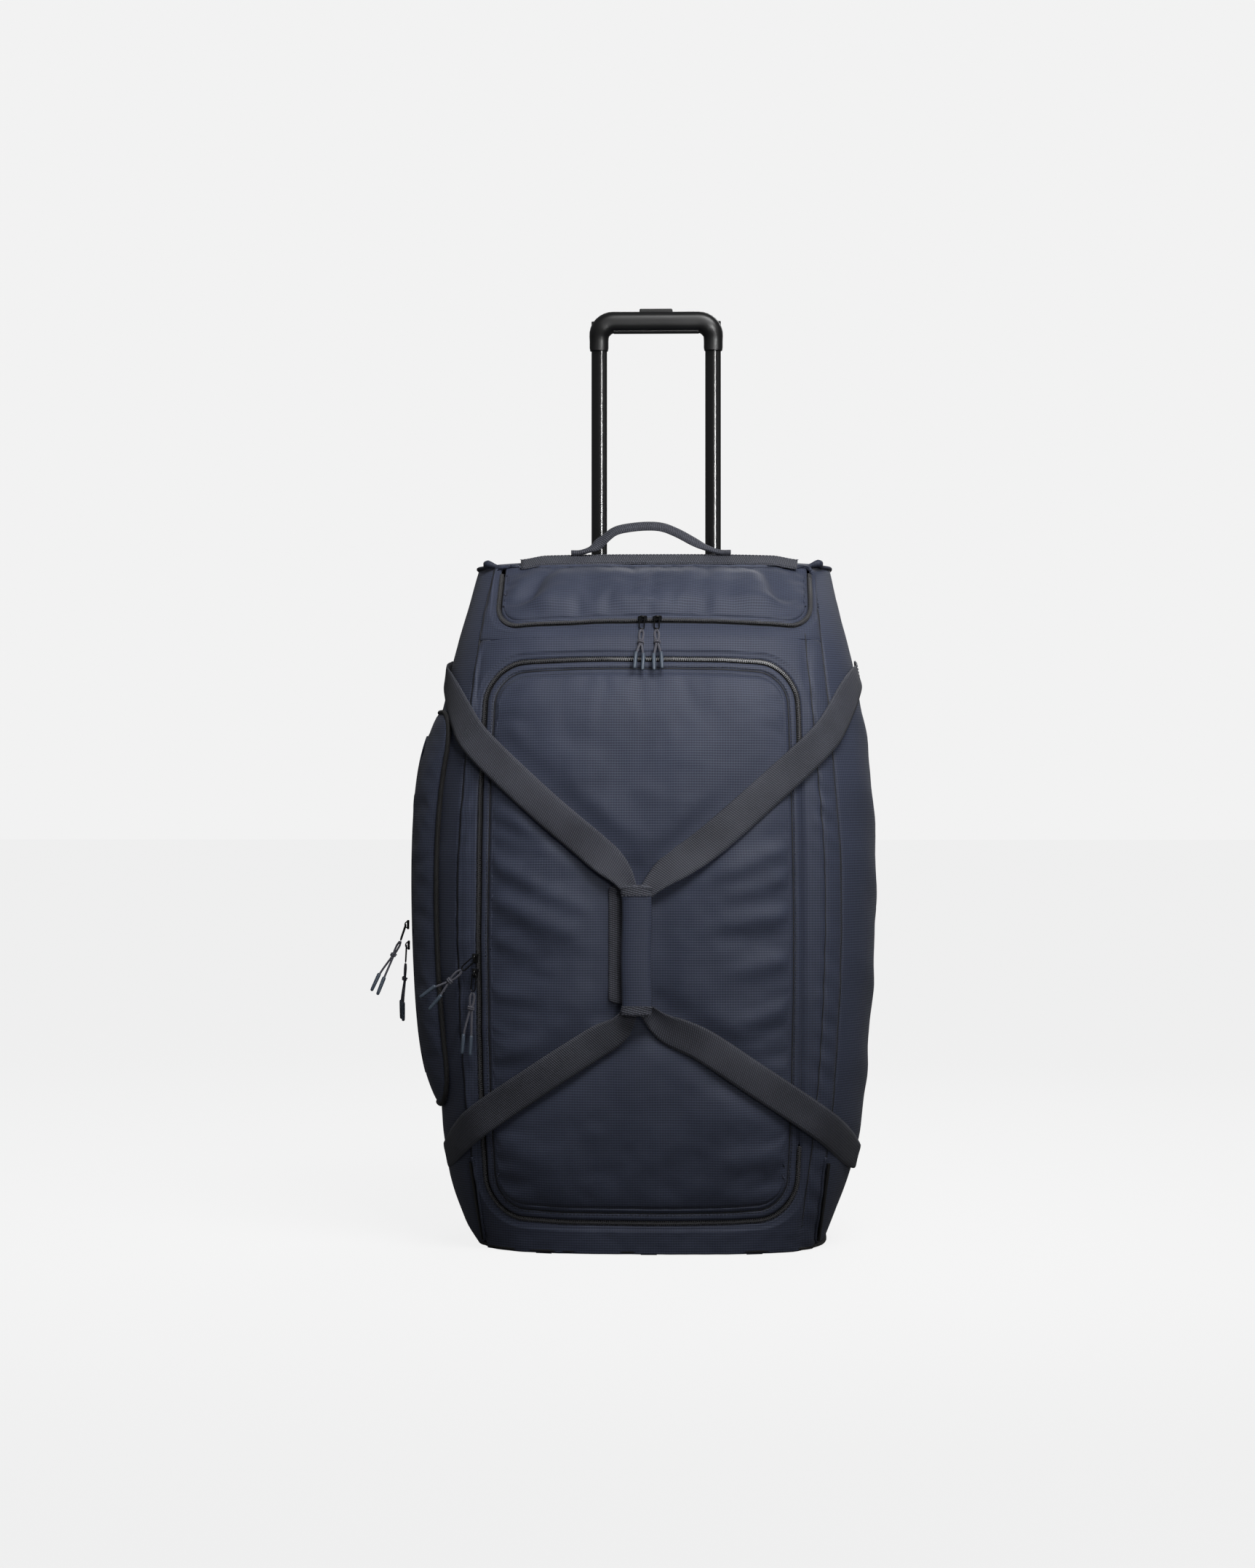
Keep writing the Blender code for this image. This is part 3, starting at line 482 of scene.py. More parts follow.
# ------------------------------------------------------------ mesh helpers
def smooth_line(points, steps):
    """Points along a Catmull-Rom curve through the given ones."""
    made = []
    count = len(points)
    for i in range(count - 1):
        before = points[i - 1] if i else points[0] * 2 - points[1]
        after = points[i + 2] if i + 2 < count else points[-1] * 2 - points[-2]
        here, there = points[i], points[i + 1]
        for j in range(steps):
            t = j / steps
            made.append(0.5 * (
                2 * here + (there - before) * t
                + (2 * before - 5 * here + 4 * there - after) * t**2
                + (3 * here - before - 3 * there + after) * t**3
            ))
    made.append(points[-1].copy())
    return made


def run_marks(line):
    """How far along a line each of its points lies."""
    marks = [0.0]
    for a, b in zip(line, line[1:], strict=False):
        marks.append(marks[-1] + (b - a).length)
    return marks


def evenly(line, pitch):
    """The same line as points a pitch apart."""
    marks = run_marks(line)
    count = max(2, round(marks[-1] / pitch))
    made, k = [], 0
    for i in range(count + 1):
        at = marks[-1] * i / count
        while k < len(line) - 2 and marks[k + 1] < at:
            k += 1
        span = marks[k + 1] - marks[k]
        made.append(line[k].lerp(line[k + 1], (at - marks[k]) / span if span else 0.0))
    return made


def tangents(path, closed=False):
    count = len(path)
    found = []
    for i in range(count):
        low = (i - 1) % count if closed else max(i - 1, 0)
        high = (i + 1) % count if closed else min(i + 1, count - 1)
        found.append((path[high] - path[low]).normalized())
    return found


def frames(path, normals, closed=False):
    """(point, run, up, across) at each point of a path."""
    found = []
    for point, run, up in zip(path, tangents(path, closed), normals, strict=True):
        up = (up - up.dot(run) * run).normalized()
        found.append((point, run, up, up.cross(run)))
    return found


def mesh_of(name, points, faces, places):
    """A mesh with the weave's places in metres, one pair for each corner of each face."""
    mesh = bpy.data.meshes.new(name)
    mesh.from_pydata([tuple(p) for p in points], [], faces)
    layer = mesh.uv_layers.new(name="Weave")
    at = 0
    for face, corners in zip(faces, places, strict=True):
        for k in range(len(face)):
            layer.data[at].uv = corners[k]
            at += 1
    mesh.update()
    return mesh


def grid_mesh(name, rows, places, closed=False):
    """A sheet through rows of points. Places hold each point's (across, along) in metres."""
    columns = len(rows[0])
    points = [p for row in rows for p in row]
    faces, corners = [], []
    for i in range(len(rows) - 1):
        for j in range(columns - (0 if closed else 1)):
            k = (j + 1) % columns
            four = [(i, j), (i, k), (i + 1, k), (i + 1, j)]
            faces.append([a * columns + b for a, b in four])
            if closed and k == 0:
                step = places[i][1][0] - places[i][0][0]
                wrapped = places[i][j][0] + step
                pairs = [places[a][b] for a, b in four]
                pairs[1] = (wrapped, pairs[1][1])
                pairs[2] = (wrapped, pairs[2][1])
                corners.append(pairs)
            else:
                corners.append([places[a][b] for a, b in four])
    return mesh_of(name, points, faces, corners)


def cloth_places(rows):
    """Across and along each point, measured over the cloth itself."""
    middle = len(rows[0]) // 2
    made = []
    for row, length in zip(rows, run_marks([row[middle] for row in rows]), strict=True):
        marks = run_marks(row)
        made.append([(m - marks[middle], length) for m in marks])
    return made


def add_piece(mesh, look, body, nodes=(), sharp=None):
    """Puts a finished mesh in the scene, on its body, in place of its CAD nodes."""
    mesh.materials.append(looks()[look])
    mesh.shade_smooth()
    if sharp:
        mesh.set_sharp_from_angle(angle=math.radians(sharp))
    made = bpy.data.objects.new(mesh.name, mesh)
    bpy.context.scene.collection.objects.link(made)
    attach(made, body)
    if nodes:
        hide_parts(*nodes)
    return made


def thicken(made, thick=None):
    """Cloth thickness, inwards from the modelled face."""
    change = made.modifiers.new("cloth thickness", "SOLIDIFY")
    change.thickness = thick or bpy.context.scene.duffel_sizes.fabric_thick
    change.offset = -1.0


def edited(mesh, change):
    """The mesh after a change to its geometry."""
    bm = bmesh.new()
    bm.from_mesh(mesh)
    change(bm)
    bm.to_mesh(mesh)
    bm.free()
    return mesh


def weld(bm):
    bmesh.ops.remove_doubles(bm, verts=bm.verts, dist=0.00002)


def loft(name, rings, places):
    """A skin over closed rings, with both ends capped and its faces outwards."""
    sides = len(rings[0])

    def cap(bm):
        bm.verts.ensure_lookup_table()
        bm.faces.new(bm.verts[:sides])
        bm.faces.new(bm.verts[-sides:])
        bmesh.ops.recalc_face_normals(bm, faces=bm.faces)

    return edited(grid_mesh(name, rings, places, True), cap)


def face_out(mesh):
    """Turns a sheet's faces so that they look away from the middle of the bag."""
    def turn(bm):
        inward = 0
        for face in bm.faces:
            away = face.calc_center_median() - Vector((0.0, 0.0, 0.4))
            inward += 1 if face.normal.dot(away) < 0 else -1
        if inward > 0:
            bmesh.ops.reverse_faces(bm, faces=bm.faces)

    return edited(mesh, turn)


def turns(sides, start=0.0):
    return [2 * math.pi * (i + start) / sides for i in range(sides)]


def oval(wide, deep, sides, squareness):
    """Points round an oval with squared shoulders."""
    return [(wide * power(math.cos(a), 2 / squareness), deep * power(math.sin(a), 2 / squareness))
            for a in turns(sides)]


def tube_mesh(name, path, normals, radius, sides=10, closed=False, flat=1.0):
    """A round or flattened tube. A radius may be a number or a list."""
    rings, places = [], []
    marks = run_marks(path)
    for k, (point, _, up, across) in enumerate(frames(path, normals, closed)):
        r = radius[k] if isinstance(radius, list) else radius
        rings.append([point + r * (math.cos(a) * across + math.sin(a) * flat * up)
                      for a in turns(sides, 0.5)])
        places.append([(2 * math.pi * r * i / sides, marks[k]) for i in range(sides)])
    if not closed:
        return loft(name, rings, places)
    rings.append([p.copy() for p in rings[0]])
    places.append([(u, marks[-1] + 0.001) for u, _ in places[0]])
    return grid_mesh(name, rings, places, True)


def lay_tube(name, path, radius, look, body="bag", sides=8, normals=None,
             closed=False, flat=1.0, nodes=()):
    """A tube along a line, as a piece of its own."""
    tops = normals or [outward(p) for p in path]
    mesh = tube_mesh(name, path, tops, radius, sides, closed, flat)
    return add_piece(mesh, look, body, nodes)


def webbing_mesh(name, path, normals, widths, thick, cups=None, twists=None):
    """Flat webbing with rounded selvages. Cups lift its edges, and twists turn it."""
    across_steps = 10
    rings, places = [], []
    marks = run_marks(path)
    for k, (point, _, up, across) in enumerate(frames(path, normals)):
        cup = cups[k] if cups else 0.0
        turn = twists[k] if twists else 0.0
        side = across * math.cos(turn) + up * math.sin(turn)
        up = up * math.cos(turn) - across * math.sin(turn)
        top, under, row = [], [], []
        for j in range(across_steps + 1):
            s = 2 * j / across_steps - 1
            half = thick / 2 * max(0.12, 1 - abs(s) ** 6)
            base = point + side * (s * widths[k] / 2) + up * (cup * s * s)
            top.append(base + up * half)
            under.append(base - up * half)
            row.append((s * widths[k] / 2, marks[k]))
        rings.append(top + under[::-1])
        places.append(row + row[::-1])
    return loft(name, rings, places)


def dashes_mesh(name, path, normals, dash=0.0028, gap=0.0012, wide=0.00045):
    """A row of stitches along a line."""
    points, faces, places = [], [], []
    line = evenly(path, dash + gap)
    tops = []
    for p in line:
        near = min(range(len(path)), key=lambda k: (path[k] - p).length)
        tops.append(normals[near])
    for point, run, up, across in frames(line, tops):
        start = len(points)
        for end in (-0.5, 0.5):
            for a, h in ((-1, 0), (0, 1), (1, 0), (0, -1)):
                points.append(point + run * (dash * end) + across * (wide * a)
                              + up * (wide * (h + 0.35)))
        for k in range(4):
            m = (k + 1) % 4
            faces.append([start + k, start + m, start + 4 + m, start + 4 + k])
            places.append([(0, 0), (wide, 0), (wide, dash), (0, dash)])
        faces.append([start + 3, start + 2, start + 1, start])
        faces.append([start + 4, start + 5, start + 6, start + 7])
        places += [[(0, 0)] * 4, [(0, 0)] * 4]
    return mesh_of(name, points, faces, places)


def lay_stitches(name, path, look, body, normals=None, shape=()):
    """A row of stitches, as a piece of its own."""
    tops = normals or [outward(p) for p in path]
    add_piece(dashes_mesh(name, path, tops, *shape), look, body)


def teeth_mesh(name, path, normals, reach=0.0025, pitch=0.0011, tall=0.0014):
    """Two interlocking rows of zip teeth along a line."""
    line = evenly(path, pitch)
    tops = []
    k = 0
    for p in line:
        while k < len(path) - 1 and (path[k + 1] - p).length < (path[k] - p).length:
            k += 1
        tops.append(normals[k])
    points, faces, places = [], [], []
    for n, (point, run, up, across) in enumerate(frames(line, tops)):
        side = 1 if n % 2 else -1
        start = len(points)
        for a in (-0.0006, reach):
            thin = 0.00074 if a < 0 else 0.00052
            for r, h in ((-thin, -tall / 2), (thin, -tall / 2), (thin * 0.7, tall / 2),
                         (-thin * 0.7, tall / 2)):
                lift = h * (1.0 if a < 0 else 0.55)
                points.append(point + across * (side * a) + run * r + up * lift)
        quads = [[0, 1, 2, 3], [7, 6, 5, 4], [0, 4, 5, 1], [1, 5, 6, 2], [2, 6, 7, 3],
                 [3, 7, 4, 0]]
        if side < 0:
            quads = [q[::-1] for q in quads]
        faces += [[start + v for v in q] for q in quads]
        places += [[(0, 0)] * 4] * 6
    return mesh_of(name, points, faces, places)


def settle(made, held, pressure, growth, ease_off=None):
    """Lets a sheet swell and wrinkle as cloth, held at some of its points."""
    limit = bpy.context.scene.duffel_sizes.cloth_cap
    mesh = made.data
    rest = [v.co.copy() for v in mesh.vertices]
    group = made.vertex_groups.new(name="sewn edge")
    group.add(held, 1.0, "REPLACE")
    change = made.modifiers.new("settling", "CLOTH")
    values = {"quality": 5, "mass": 0.15, "tension_stiffness": 20.0, "shear_stiffness": 6.0,
              "compression_stiffness": 12.0, "bending_stiffness": 1.2, "tension_damping": 12.0,
              "vertex_group_mass": "sewn edge", "use_pressure": True,
              "uniform_pressure_force": pressure, "shrink_min": -growth}
    for key, value in values.items():
        setattr(change.settings, key, value)
    change.settings.effector_weights.gravity = 0.0
    change.collision_settings.use_collision = False
    change.collision_settings.use_self_collision = False
    change.point_cache.frame_start = 1
    change.point_cache.frame_end = 20
    for step in range(1, 21):
        bpy.context.scene.frame_set(step)
    shaped = made.evaluated_get(bpy.context.evaluated_depsgraph_get()).data
    found = [v.co.copy() for v in shaped.vertices]
    made.modifiers.remove(change)
    made.vertex_groups.remove(group)
    for vert, before, after in zip(mesh.vertices, rest, found, strict=True):
        move = after - before
        reach = limit * (1 - 0.85 * ease_off(before.x, before.z)) if ease_off else limit
        vert.co = before + move * (reach / (reach + move.length))
    mesh.update()
    bpy.context.scene.frame_set(1)


# ------------------------------------------------------------ folds in the cloth
def fold_height(u, v, folds):
    """Height of soft folds, each (u, v, u, v, width, height) from end to end."""
    total = 0.0
    for u0, v0, u1, v1, width, height in folds:
        du, dv = u1 - u0, v1 - v0
        length2 = du * du + dv * dv
        t = ((u - u0) * du + (v - v0) * dv) / length2
        if -0.15 < t < 1.15:
            off = abs((u - u0) * dv - (v - v0) * du) / math.sqrt(length2)
            fade = ease(t, -0.15, 0.25) * (1 - ease(t, 0.55, 1.15))
            total += height * fade * math.exp(-((off / width) ** 2))
    return total


STRAP_LINES = [
    (0.150, 0.546, 0.010, 0.425), (-0.150, 0.546, -0.020, 0.425),
    (0.150, 0.180, 0.010, 0.270), (-0.150, 0.180, -0.020, 0.270),
]


def under_strap(x, z):
    """1 beneath a carry strap, fading to 0 a little way beside it."""
    found = 0.0
    for x0, z0, x1, z1 in STRAP_LINES:
        dx, dz = x1 - x0, z1 - z0
        t = max(-0.35, min(1.0, ((x - x0) * dx + (z - z0) * dz) / (dx * dx + dz * dz)))
        off = math.hypot(x - x0 - t * dx, z - z0 - t * dz)
        found = max(found, 1 - ease(off, 0.016, 0.042))
    return found


LID_FOLDS = [
    (-0.190, 0.452, -0.055, 0.385, 0.011, 0.0026),
    (-0.190, 0.412, -0.070, 0.362, 0.013, 0.0030),
    (-0.190, 0.372, -0.100, 0.322, 0.012, 0.0022),
    (-0.188, 0.300, -0.110, 0.292, 0.010, 0.0016),
    (-0.186, 0.225, -0.120, 0.238, 0.012, 0.0016),
    (-0.184, 0.520, -0.120, 0.475, 0.012, 0.0014),
    (0.172, 0.470, 0.050, 0.420, 0.012, 0.0024),
    (0.172, 0.436, 0.060, 0.398, 0.011, 0.0020),
    (0.174, 0.392, 0.050, 0.372, 0.013, 0.0028),
    (0.174, 0.342, 0.070, 0.318, 0.012, 0.0024),
    (0.172, 0.286, 0.080, 0.262, 0.011, 0.0018),
    (0.170, 0.215, 0.070, 0.175, 0.014, 0.0020),
    (0.165, 0.120, 0.060, 0.105, 0.016, 0.0016),
    (-0.172, 0.130, -0.060, 0.100, 0.016, 0.0014),
    (-0.020, 0.600, -0.015, 0.470, 0.030, -0.0012),
    (0.030, 0.250, 0.020, 0.120, 0.028, -0.0012),
]
SIDE_FOLDS = [
    (-0.150, 0.640, 0.020, 0.560, 0.018, 0.0045),
    (-0.165, 0.560, 0.010, 0.450, 0.020, 0.0040),
    (-0.170, 0.470, 0.060, 0.350, 0.018, 0.0036),
    (-0.170, 0.350, 0.050, 0.250, 0.020, 0.0040),
    (-0.165, 0.230, 0.060, 0.170, 0.018, 0.0036),
    (-0.120, 0.150, 0.080, 0.090, 0.018, 0.0030),
    (0.130, 0.620, -0.020, 0.500, 0.020, 0.0030),
    (0.130, 0.330, 0.000, 0.420, 0.020, 0.0030),
]
BACK_FOLDS = [
    (-0.190, 0.700, -0.070, 0.640, 0.016, 0.0014),
    (0.190, 0.690, 0.070, 0.640, 0.016, 0.0014),
    (-0.190, 0.420, -0.080, 0.400, 0.016, 0.0012),
    (0.190, 0.430, 0.080, 0.400, 0.016, 0.0012),
    (-0.190, 0.180, -0.080, 0.220, 0.016, 0.0014),
    (0.190, 0.180, 0.080, 0.220, 0.016, 0.0014),
]


def crumple(u, v, seed, depth, size=0.045):
    """Slow uneven swelling of filled cloth."""
    return depth * noise.fractal(Vector((u / size, v / size, seed)), 0.8, 2.0, 3)


def pucker(u, v, seed, depth=0.0004, size=0.010):
    return depth * noise.noise(Vector((u / size, v / size, seed)))


# ------------------------------------------------------------ rounded openings
class Opening:
    """A rounded opening in the front, as columns of (x, z) points that keep their order."""

    def __init__(self, middle, half, low, high, low_corner, high_corner, barrel, steps,
                 fixed_top=False, arch=(0.0, 0.0)):
        self.middle, self.half = middle, half
        self.fixed_top, self.arch = fixed_top, arch
        self.low, self.high = low, high
        self.corners = (low_corner, high_corner)
        self.barrel = barrel
        self.columns, self.rows, self.arc = steps

    def grid(self, grow):
        """Columns that fill the opening grown by a distance."""
        x_low, x_high = self.middle - self.half - grow, self.middle + self.half + grow
        z_low, z_high = self.low - grow, self.high + (0.0 if self.fixed_top else grow)
        r_low, r_high = (max(0.0015, r + grow) for r in self.corners)
        wide = max(r_low, r_high)
        spread = x_high - x_low
        marks = [wide * (1 - math.cos(math.pi / 2 * k / self.arc)) for k in range(self.arc + 1)]
        inner = [wide + (spread - 2 * wide) * i / self.columns for i in range(1, self.columns)]
        marks += inner + [spread - m for m in reversed(marks)]
        half = (z_high - z_low) / 2
        centre = (z_high + z_low) / 2

        def cut(near, radius):
            if near >= radius:
                return 0.0
            return radius - math.sqrt(max(0.0, radius**2 - (radius - near) ** 2))

        made = []
        for d in marks:
            near = min(d, spread - d)
            bottom, top = z_low + cut(near, r_low), z_high - cut(near, r_high)
            column = []
            for i in range(self.rows + 1):
                z = bottom + (top - bottom) * i / self.rows
                x = x_low + d
                share = (x - self.middle) / (self.half + grow)
                bend = abs(share) ** 3
                high = i / self.rows
                drop = bend * (self.arch[1] * high**4 - self.arch[0] * (1 - high) ** 4)
                side = share * self.barrel * ((z - centre) / half) ** 2
                column.append((x - side, z - drop))
            made.append(column)
        return made

    def loop(self, grow):
        """The outline grown by a distance: up the left, over the top, down and back."""
        grid = self.grid(grow)
        left, right = grid[0], grid[-1]
        top = [column[-1] for column in grid[1:]]
        bottom = [column[0] for column in grid[1:-1]]
        return left + top + right[-2::-1] + bottom[::-1]


LID = Opening(LID_MIDDLE_X, LID_HALF, LID_LOW, LID_HIGH, LID_CORNER, LID_CORNER, LID_BARREL,
              (52, 118, 18), arch=(0.006, 0.007))
FLAP_EDGE_HIGH = 0.7890
BROW = 0.6990  # where the borders of the lid and of the flap meet
FLAP = Opening(FLAP_MIDDLE_X, FLAP_HALF + 0.006, FLAP_LOW, FLAP_EDGE_HIGH, FLAP_CORNER + 0.004,
               0.0016, 0.0, (60, 26, 13), fixed_top=True, arch=(-0.008, 0.0))


def hinged(x, z):
    """1 beside the lid's sewn side, 0 along its zip."""
    if x < 0.12:
        return 0.0
    return ease(z, HINGE_LOW - 0.012, HINGE_LOW) * (1 - ease(z, HINGE_HIGH - 0.012, HINGE_HIGH))


def front_relief(x, z):
    """Folds that the whole front shares."""
    return crumple(x, z, 3.0, 0.0012, 0.07)


def weave_at(x, z):
    return (x, along(SLOPE, z))


def ring_points(opening, grow, height):
    """A ring round an opening, with its height above the body, and its weave places."""
    points, places = [], []
    closed = opening.loop(0.0)
    for (x, z), (near_x, near_z) in zip(opening.loop(grow), closed, strict=True):
        sewn = hinged(x, z) if opening is LID else 0.0
        if opening is FLAP:
            sewn = ease(z, 0.7865, 0.7885)
        if sewn:
            height = height * (1 - sewn) + max(height, -0.0004) * sewn
            if abs(grow) < 0.0027 and opening is LID:
                x, z = x + (near_x - x) * sewn, z + (near_z - z) * sewn
        points.append(front_point(x, z, height + front_relief(x, z)))
        places.append(weave_at(x, z))
    return points, places


def closed_grid(name, rings, places):
    """A ring-shaped sheet from loops of points."""
    rings = [ring + [ring[0].copy()] for ring in rings]
    places = [row + [row[0]] for row in places]
    return edited(grid_mesh(name, rings, places), weld)


def edge_rings(opening, edge):
    """The rings of a folded edge beside a zip, and their places."""
    found = [ring_points(opening, grow, height) for grow, height in edge]
    return [points for points, _ in found], [places for _, places in found]


def front_sheet(spots, height):
    """The front's points at (x, z) spots, each at its own height, and their places."""
    points = [front_point(x, z, height(x, z)) for x, z in spots]
    return points, [weave_at(x, z) for x, z in spots]


def sewn_points(rows, columns, also=None):
    """Numbers of a sheet's points that are held: its edges, and any other columns."""
    return [i * columns + j for i in range(rows) for j in range(columns)
            if i in (0, rows - 1) or j in (0, columns - 1) or (also and also(j))]


def filled_panel(name, opening, inset, height, body, settling):
    """A padded sheet that fills an opening."""
    sheets = [front_sheet(column, height) for column in opening.grid(inset)]
    rows = [points for points, _ in sheets]
    mesh = face_out(grid_mesh(name, rows, [places for _, places in sheets]))
    made = add_piece(mesh, "ripstop", body, [body])
    settle(made, sewn_points(len(rows), len(rows[0])), *settling)
    thicken(made)


def bound_edge(name, opening, edge, inset, height, body):
    """The cloth between a padded sheet and its zip."""
    rings, places = edge_rings(opening, edge)
    points, marks = front_sheet(opening.loop(inset), height)
    mesh = face_out(closed_grid(name, [*rings, points], [*places, marks]))
    thicken(add_piece(mesh, "ripstop", body))


# ------------------------------------------------------------ operators
class DUFFEL_OT_stage(bpy.types.Operator):
    """Lay the pale floor and set the lights and the camera"""

    bl_idname = "duffel.stage"
    bl_label = "Studio"

    def execute(self, context):
        values = context.scene.duffel_stage
        reach, steps = 30.0, 12
        rows = range(steps + 1)
        points = [(reach * (2 * i / steps - 1), reach * (2 * j / steps - 1), 0.0)
                  for i in rows for j in rows]
        starts = [i * (steps + 1) + j for i in range(steps) for j in range(steps)]
        floor = bpy.data.meshes.new("studio_floor")
        floor.from_pydata(points, [], [[a, a + steps + 1, a + steps + 2, a + 1] for a in starts])
        floor.materials.append(self.floor_look(tuple(values.floor)))
        laid = bpy.data.objects.new("studio_floor", floor)
        context.scene.collection.objects.link(laid)
        for name, place, target, size, watts, angle in (
            ("top light", (0.50, -1.25, 2.05), (0.0, -0.15, 0.72), (1.2, 0.9), values.key, 80),
            ("tube light", (1.0, -3.3, 1.05), (0.0, 0.1, 1.05), (0.12, 0.9), values.fill * 2, 36),
            ("right light", (2.0, -1.5, 1.2), (0.0, 0.0, 0.6), (0.5, 1.9), values.fill, 150),
            ("back light", (0.6, 2.2, 2.2), (0.0, 0.0, 0.5), (1.6, 1.2), values.key * 1.1, 120),
        ):
            self.add_light(name, place, target, size, watts, angle)
        self.set_room(context, values.ambient)
        self.set_camera(context)
        return {"FINISHED"}

    def floor_look(self, colour):
        """A pale floor that takes a faint shadow and throws little light back up."""
        look = Look("studio floor", shade(colour, 0.10), 0.9)
        look.set("Specular IOR Level", 0.0)
        cloud = look.grain(look.own_place(), 0.6, 2.0)
        look.colour_from(look.tint(cloud, shade(colour, 0.098), shade(colour, 0.102)))
        look.set("Emission Color", (*colour, 1.0))
        seen = look.node("LightPath").outputs["Is Camera Ray"]
        look.join(look.math("MULTIPLY_ADD", seen, 0.94, 0.025),
                  look.shader.inputs["Emission Strength"])
        return look.made

    def add_light(self, name, place, target, size, watts, spread):
        lamp = bpy.data.lights.new(name, "AREA")
        lamp.spread = math.radians(spread)
        lamp.shape = "RECTANGLE"
        lamp.size, lamp.size_y = size
        lamp.energy = watts
        made = bpy.data.objects.new(name, lamp)
        made.location = place
        aim = Vector(target) - Vector(place)
        made.rotation_euler = aim.to_track_quat("-Z", "Y").to_euler()
        bpy.context.scene.collection.objects.link(made)

    def set_room(self, context, strength):
        world = bpy.data.worlds.new("studio room")
        context.scene.world = world
        world.use_nodes = True
        tree = world.node_tree
        even = tree.nodes["Background"]
        even.inputs[0].default_value = (0.97, 0.985, 1.0, 1.0)
        even.inputs[1].default_value = strength
        seen = tree.nodes.new("ShaderNodeBackground")
        seen.inputs[0].default_value = (0.888, 0.888, 0.888, 1.0)
        split = tree.nodes.new("ShaderNodeMixShader")
        path = tree.nodes.new("ShaderNodeLightPath")
        tree.links.new(path.outputs["Is Camera Ray"], split.inputs[0])
        tree.links.new(even.outputs[0], split.inputs[1])
        tree.links.new(seen.outputs[0], split.inputs[2])
        tree.links.new(split.outputs[0], tree.nodes["World Output"].inputs[0])
        context.scene.view_settings.view_transform = "Standard"
        context.scene.view_settings.look = "None"

    def set_camera(self, context):
        lens = bpy.data.cameras.new("camera")
        lens.lens = 81.5
        lens.sensor_width = 36.0
        lens.sensor_fit = "AUTO"
        lens.clip_start, lens.clip_end = 0.1, 100.0
        made = bpy.data.objects.new("camera", lens)
        context.scene.collection.objects.link(made)
        turn, distance = math.radians(2.1), 4.0
        aim = Vector((-0.023, -0.195, 0.535))
        made.location = aim + Vector((math.sin(turn), -math.cos(turn), 0.0)) * distance
        made.rotation_euler = (math.pi / 2, 0.0, turn)
        context.scene.camera = made


PULLS = {  # the zip, the slider's place, the way the ring hangs, and both tips from its end
    "lid_upper": ("lid", 0.337, (-0.75, 0.0, -0.55),
                  [(-0.046, -0.004, -0.030), (-0.036, -0.002, -0.044)]),
    "lid_lower": ("lid", 0.320, (-0.10, 0.0, -1.0),
                  [(-0.012, -0.002, -0.068), (-0.003, -0.002, -0.070)]),
    "flap_left": ("flap", -0.0085, (0.0, -0.69, -0.72),
                  [(-0.007, -0.033, -0.044), (0.002, -0.033, -0.046)]),
    "flap_right": ("flap", 0.0085, (0.0, -0.69, -0.72),
                   [(-0.002, -0.033, -0.046), (0.007, -0.033, -0.044)]),
    "pocket_upper": ("pocket", 0.370, (-0.30, -0.45, -1.0),
                     [(-0.032, -0.012, -0.056), (-0.024, -0.022, -0.060)]),
    "pocket_lower": ("pocket", 0.346, (-0.05, 0.05, -1.0),
                     [(-0.006, 0.012, -0.064), (-0.003, 0.003, -0.066)]),
}
BAIL_LENGTH = 0.020
SLIDER_LIFT = 0.0046  # of a slider over the body
APEX = 0.0224  # from the slider's eye to where the cord turns
SLIDER_EYE = 0.0026


def pocket_angles(z):
    return math.pi - angle_at_y(-0.130, z), math.pi - angle_at_y(0.110, z)


def pocket_out(share, z):
    height = (z - POCKET_Z[0]) / (POCKET_Z[1] - POCKET_Z[0])
    across = max(0.0, 1 - (2 * share - 1) ** 4)
    upright = max(0.0, 1 - (2 * height - 1) ** 6)
    return POCKET_BULGE * across * upright


def pocket_point(share, z, out):
    first, last = pocket_angles(z)
    return body_point(first + (last - first) * share, z, out)


def pocket_line(z, lift):
    """The line of the pocket's zip, lifted by a distance."""
    return pocket_point(POCKET_ZIP_SHARE, z, pocket_out(POCKET_ZIP_SHARE, z) + lift)


def pull_frame(prefix):
    """Seat, normal, zip direction, hang direction and the two tips of a pull."""
    kind, at, hang, reach = PULLS[prefix]
    hang = Vector(hang)
    run = UP
    if kind == "lid":
        seat = front_base(LID_MIDDLE_X - LID_HALF, at, SLIDER_LIFT)
        normal = outward(seat, False)
        hang -= hang.dot(normal) * normal
    elif kind == "flap":
        normal = Vector((0, -0.72, 0.69))
        seat = front_base(at, FLAP_LOW) + normal * SLIDER_LIFT
        run = Vector((1, 0, 0))
    else:
        seat = pocket_line(at, 0.0106)
        normal = outward(seat, False)
    hang.normalize()
    eye = seat + normal * SLIDER_EYE
    apex = eye + hang * APEX
    return seat, normal, run, hang, eye, apex, [apex + Vector(r) for r in reach]


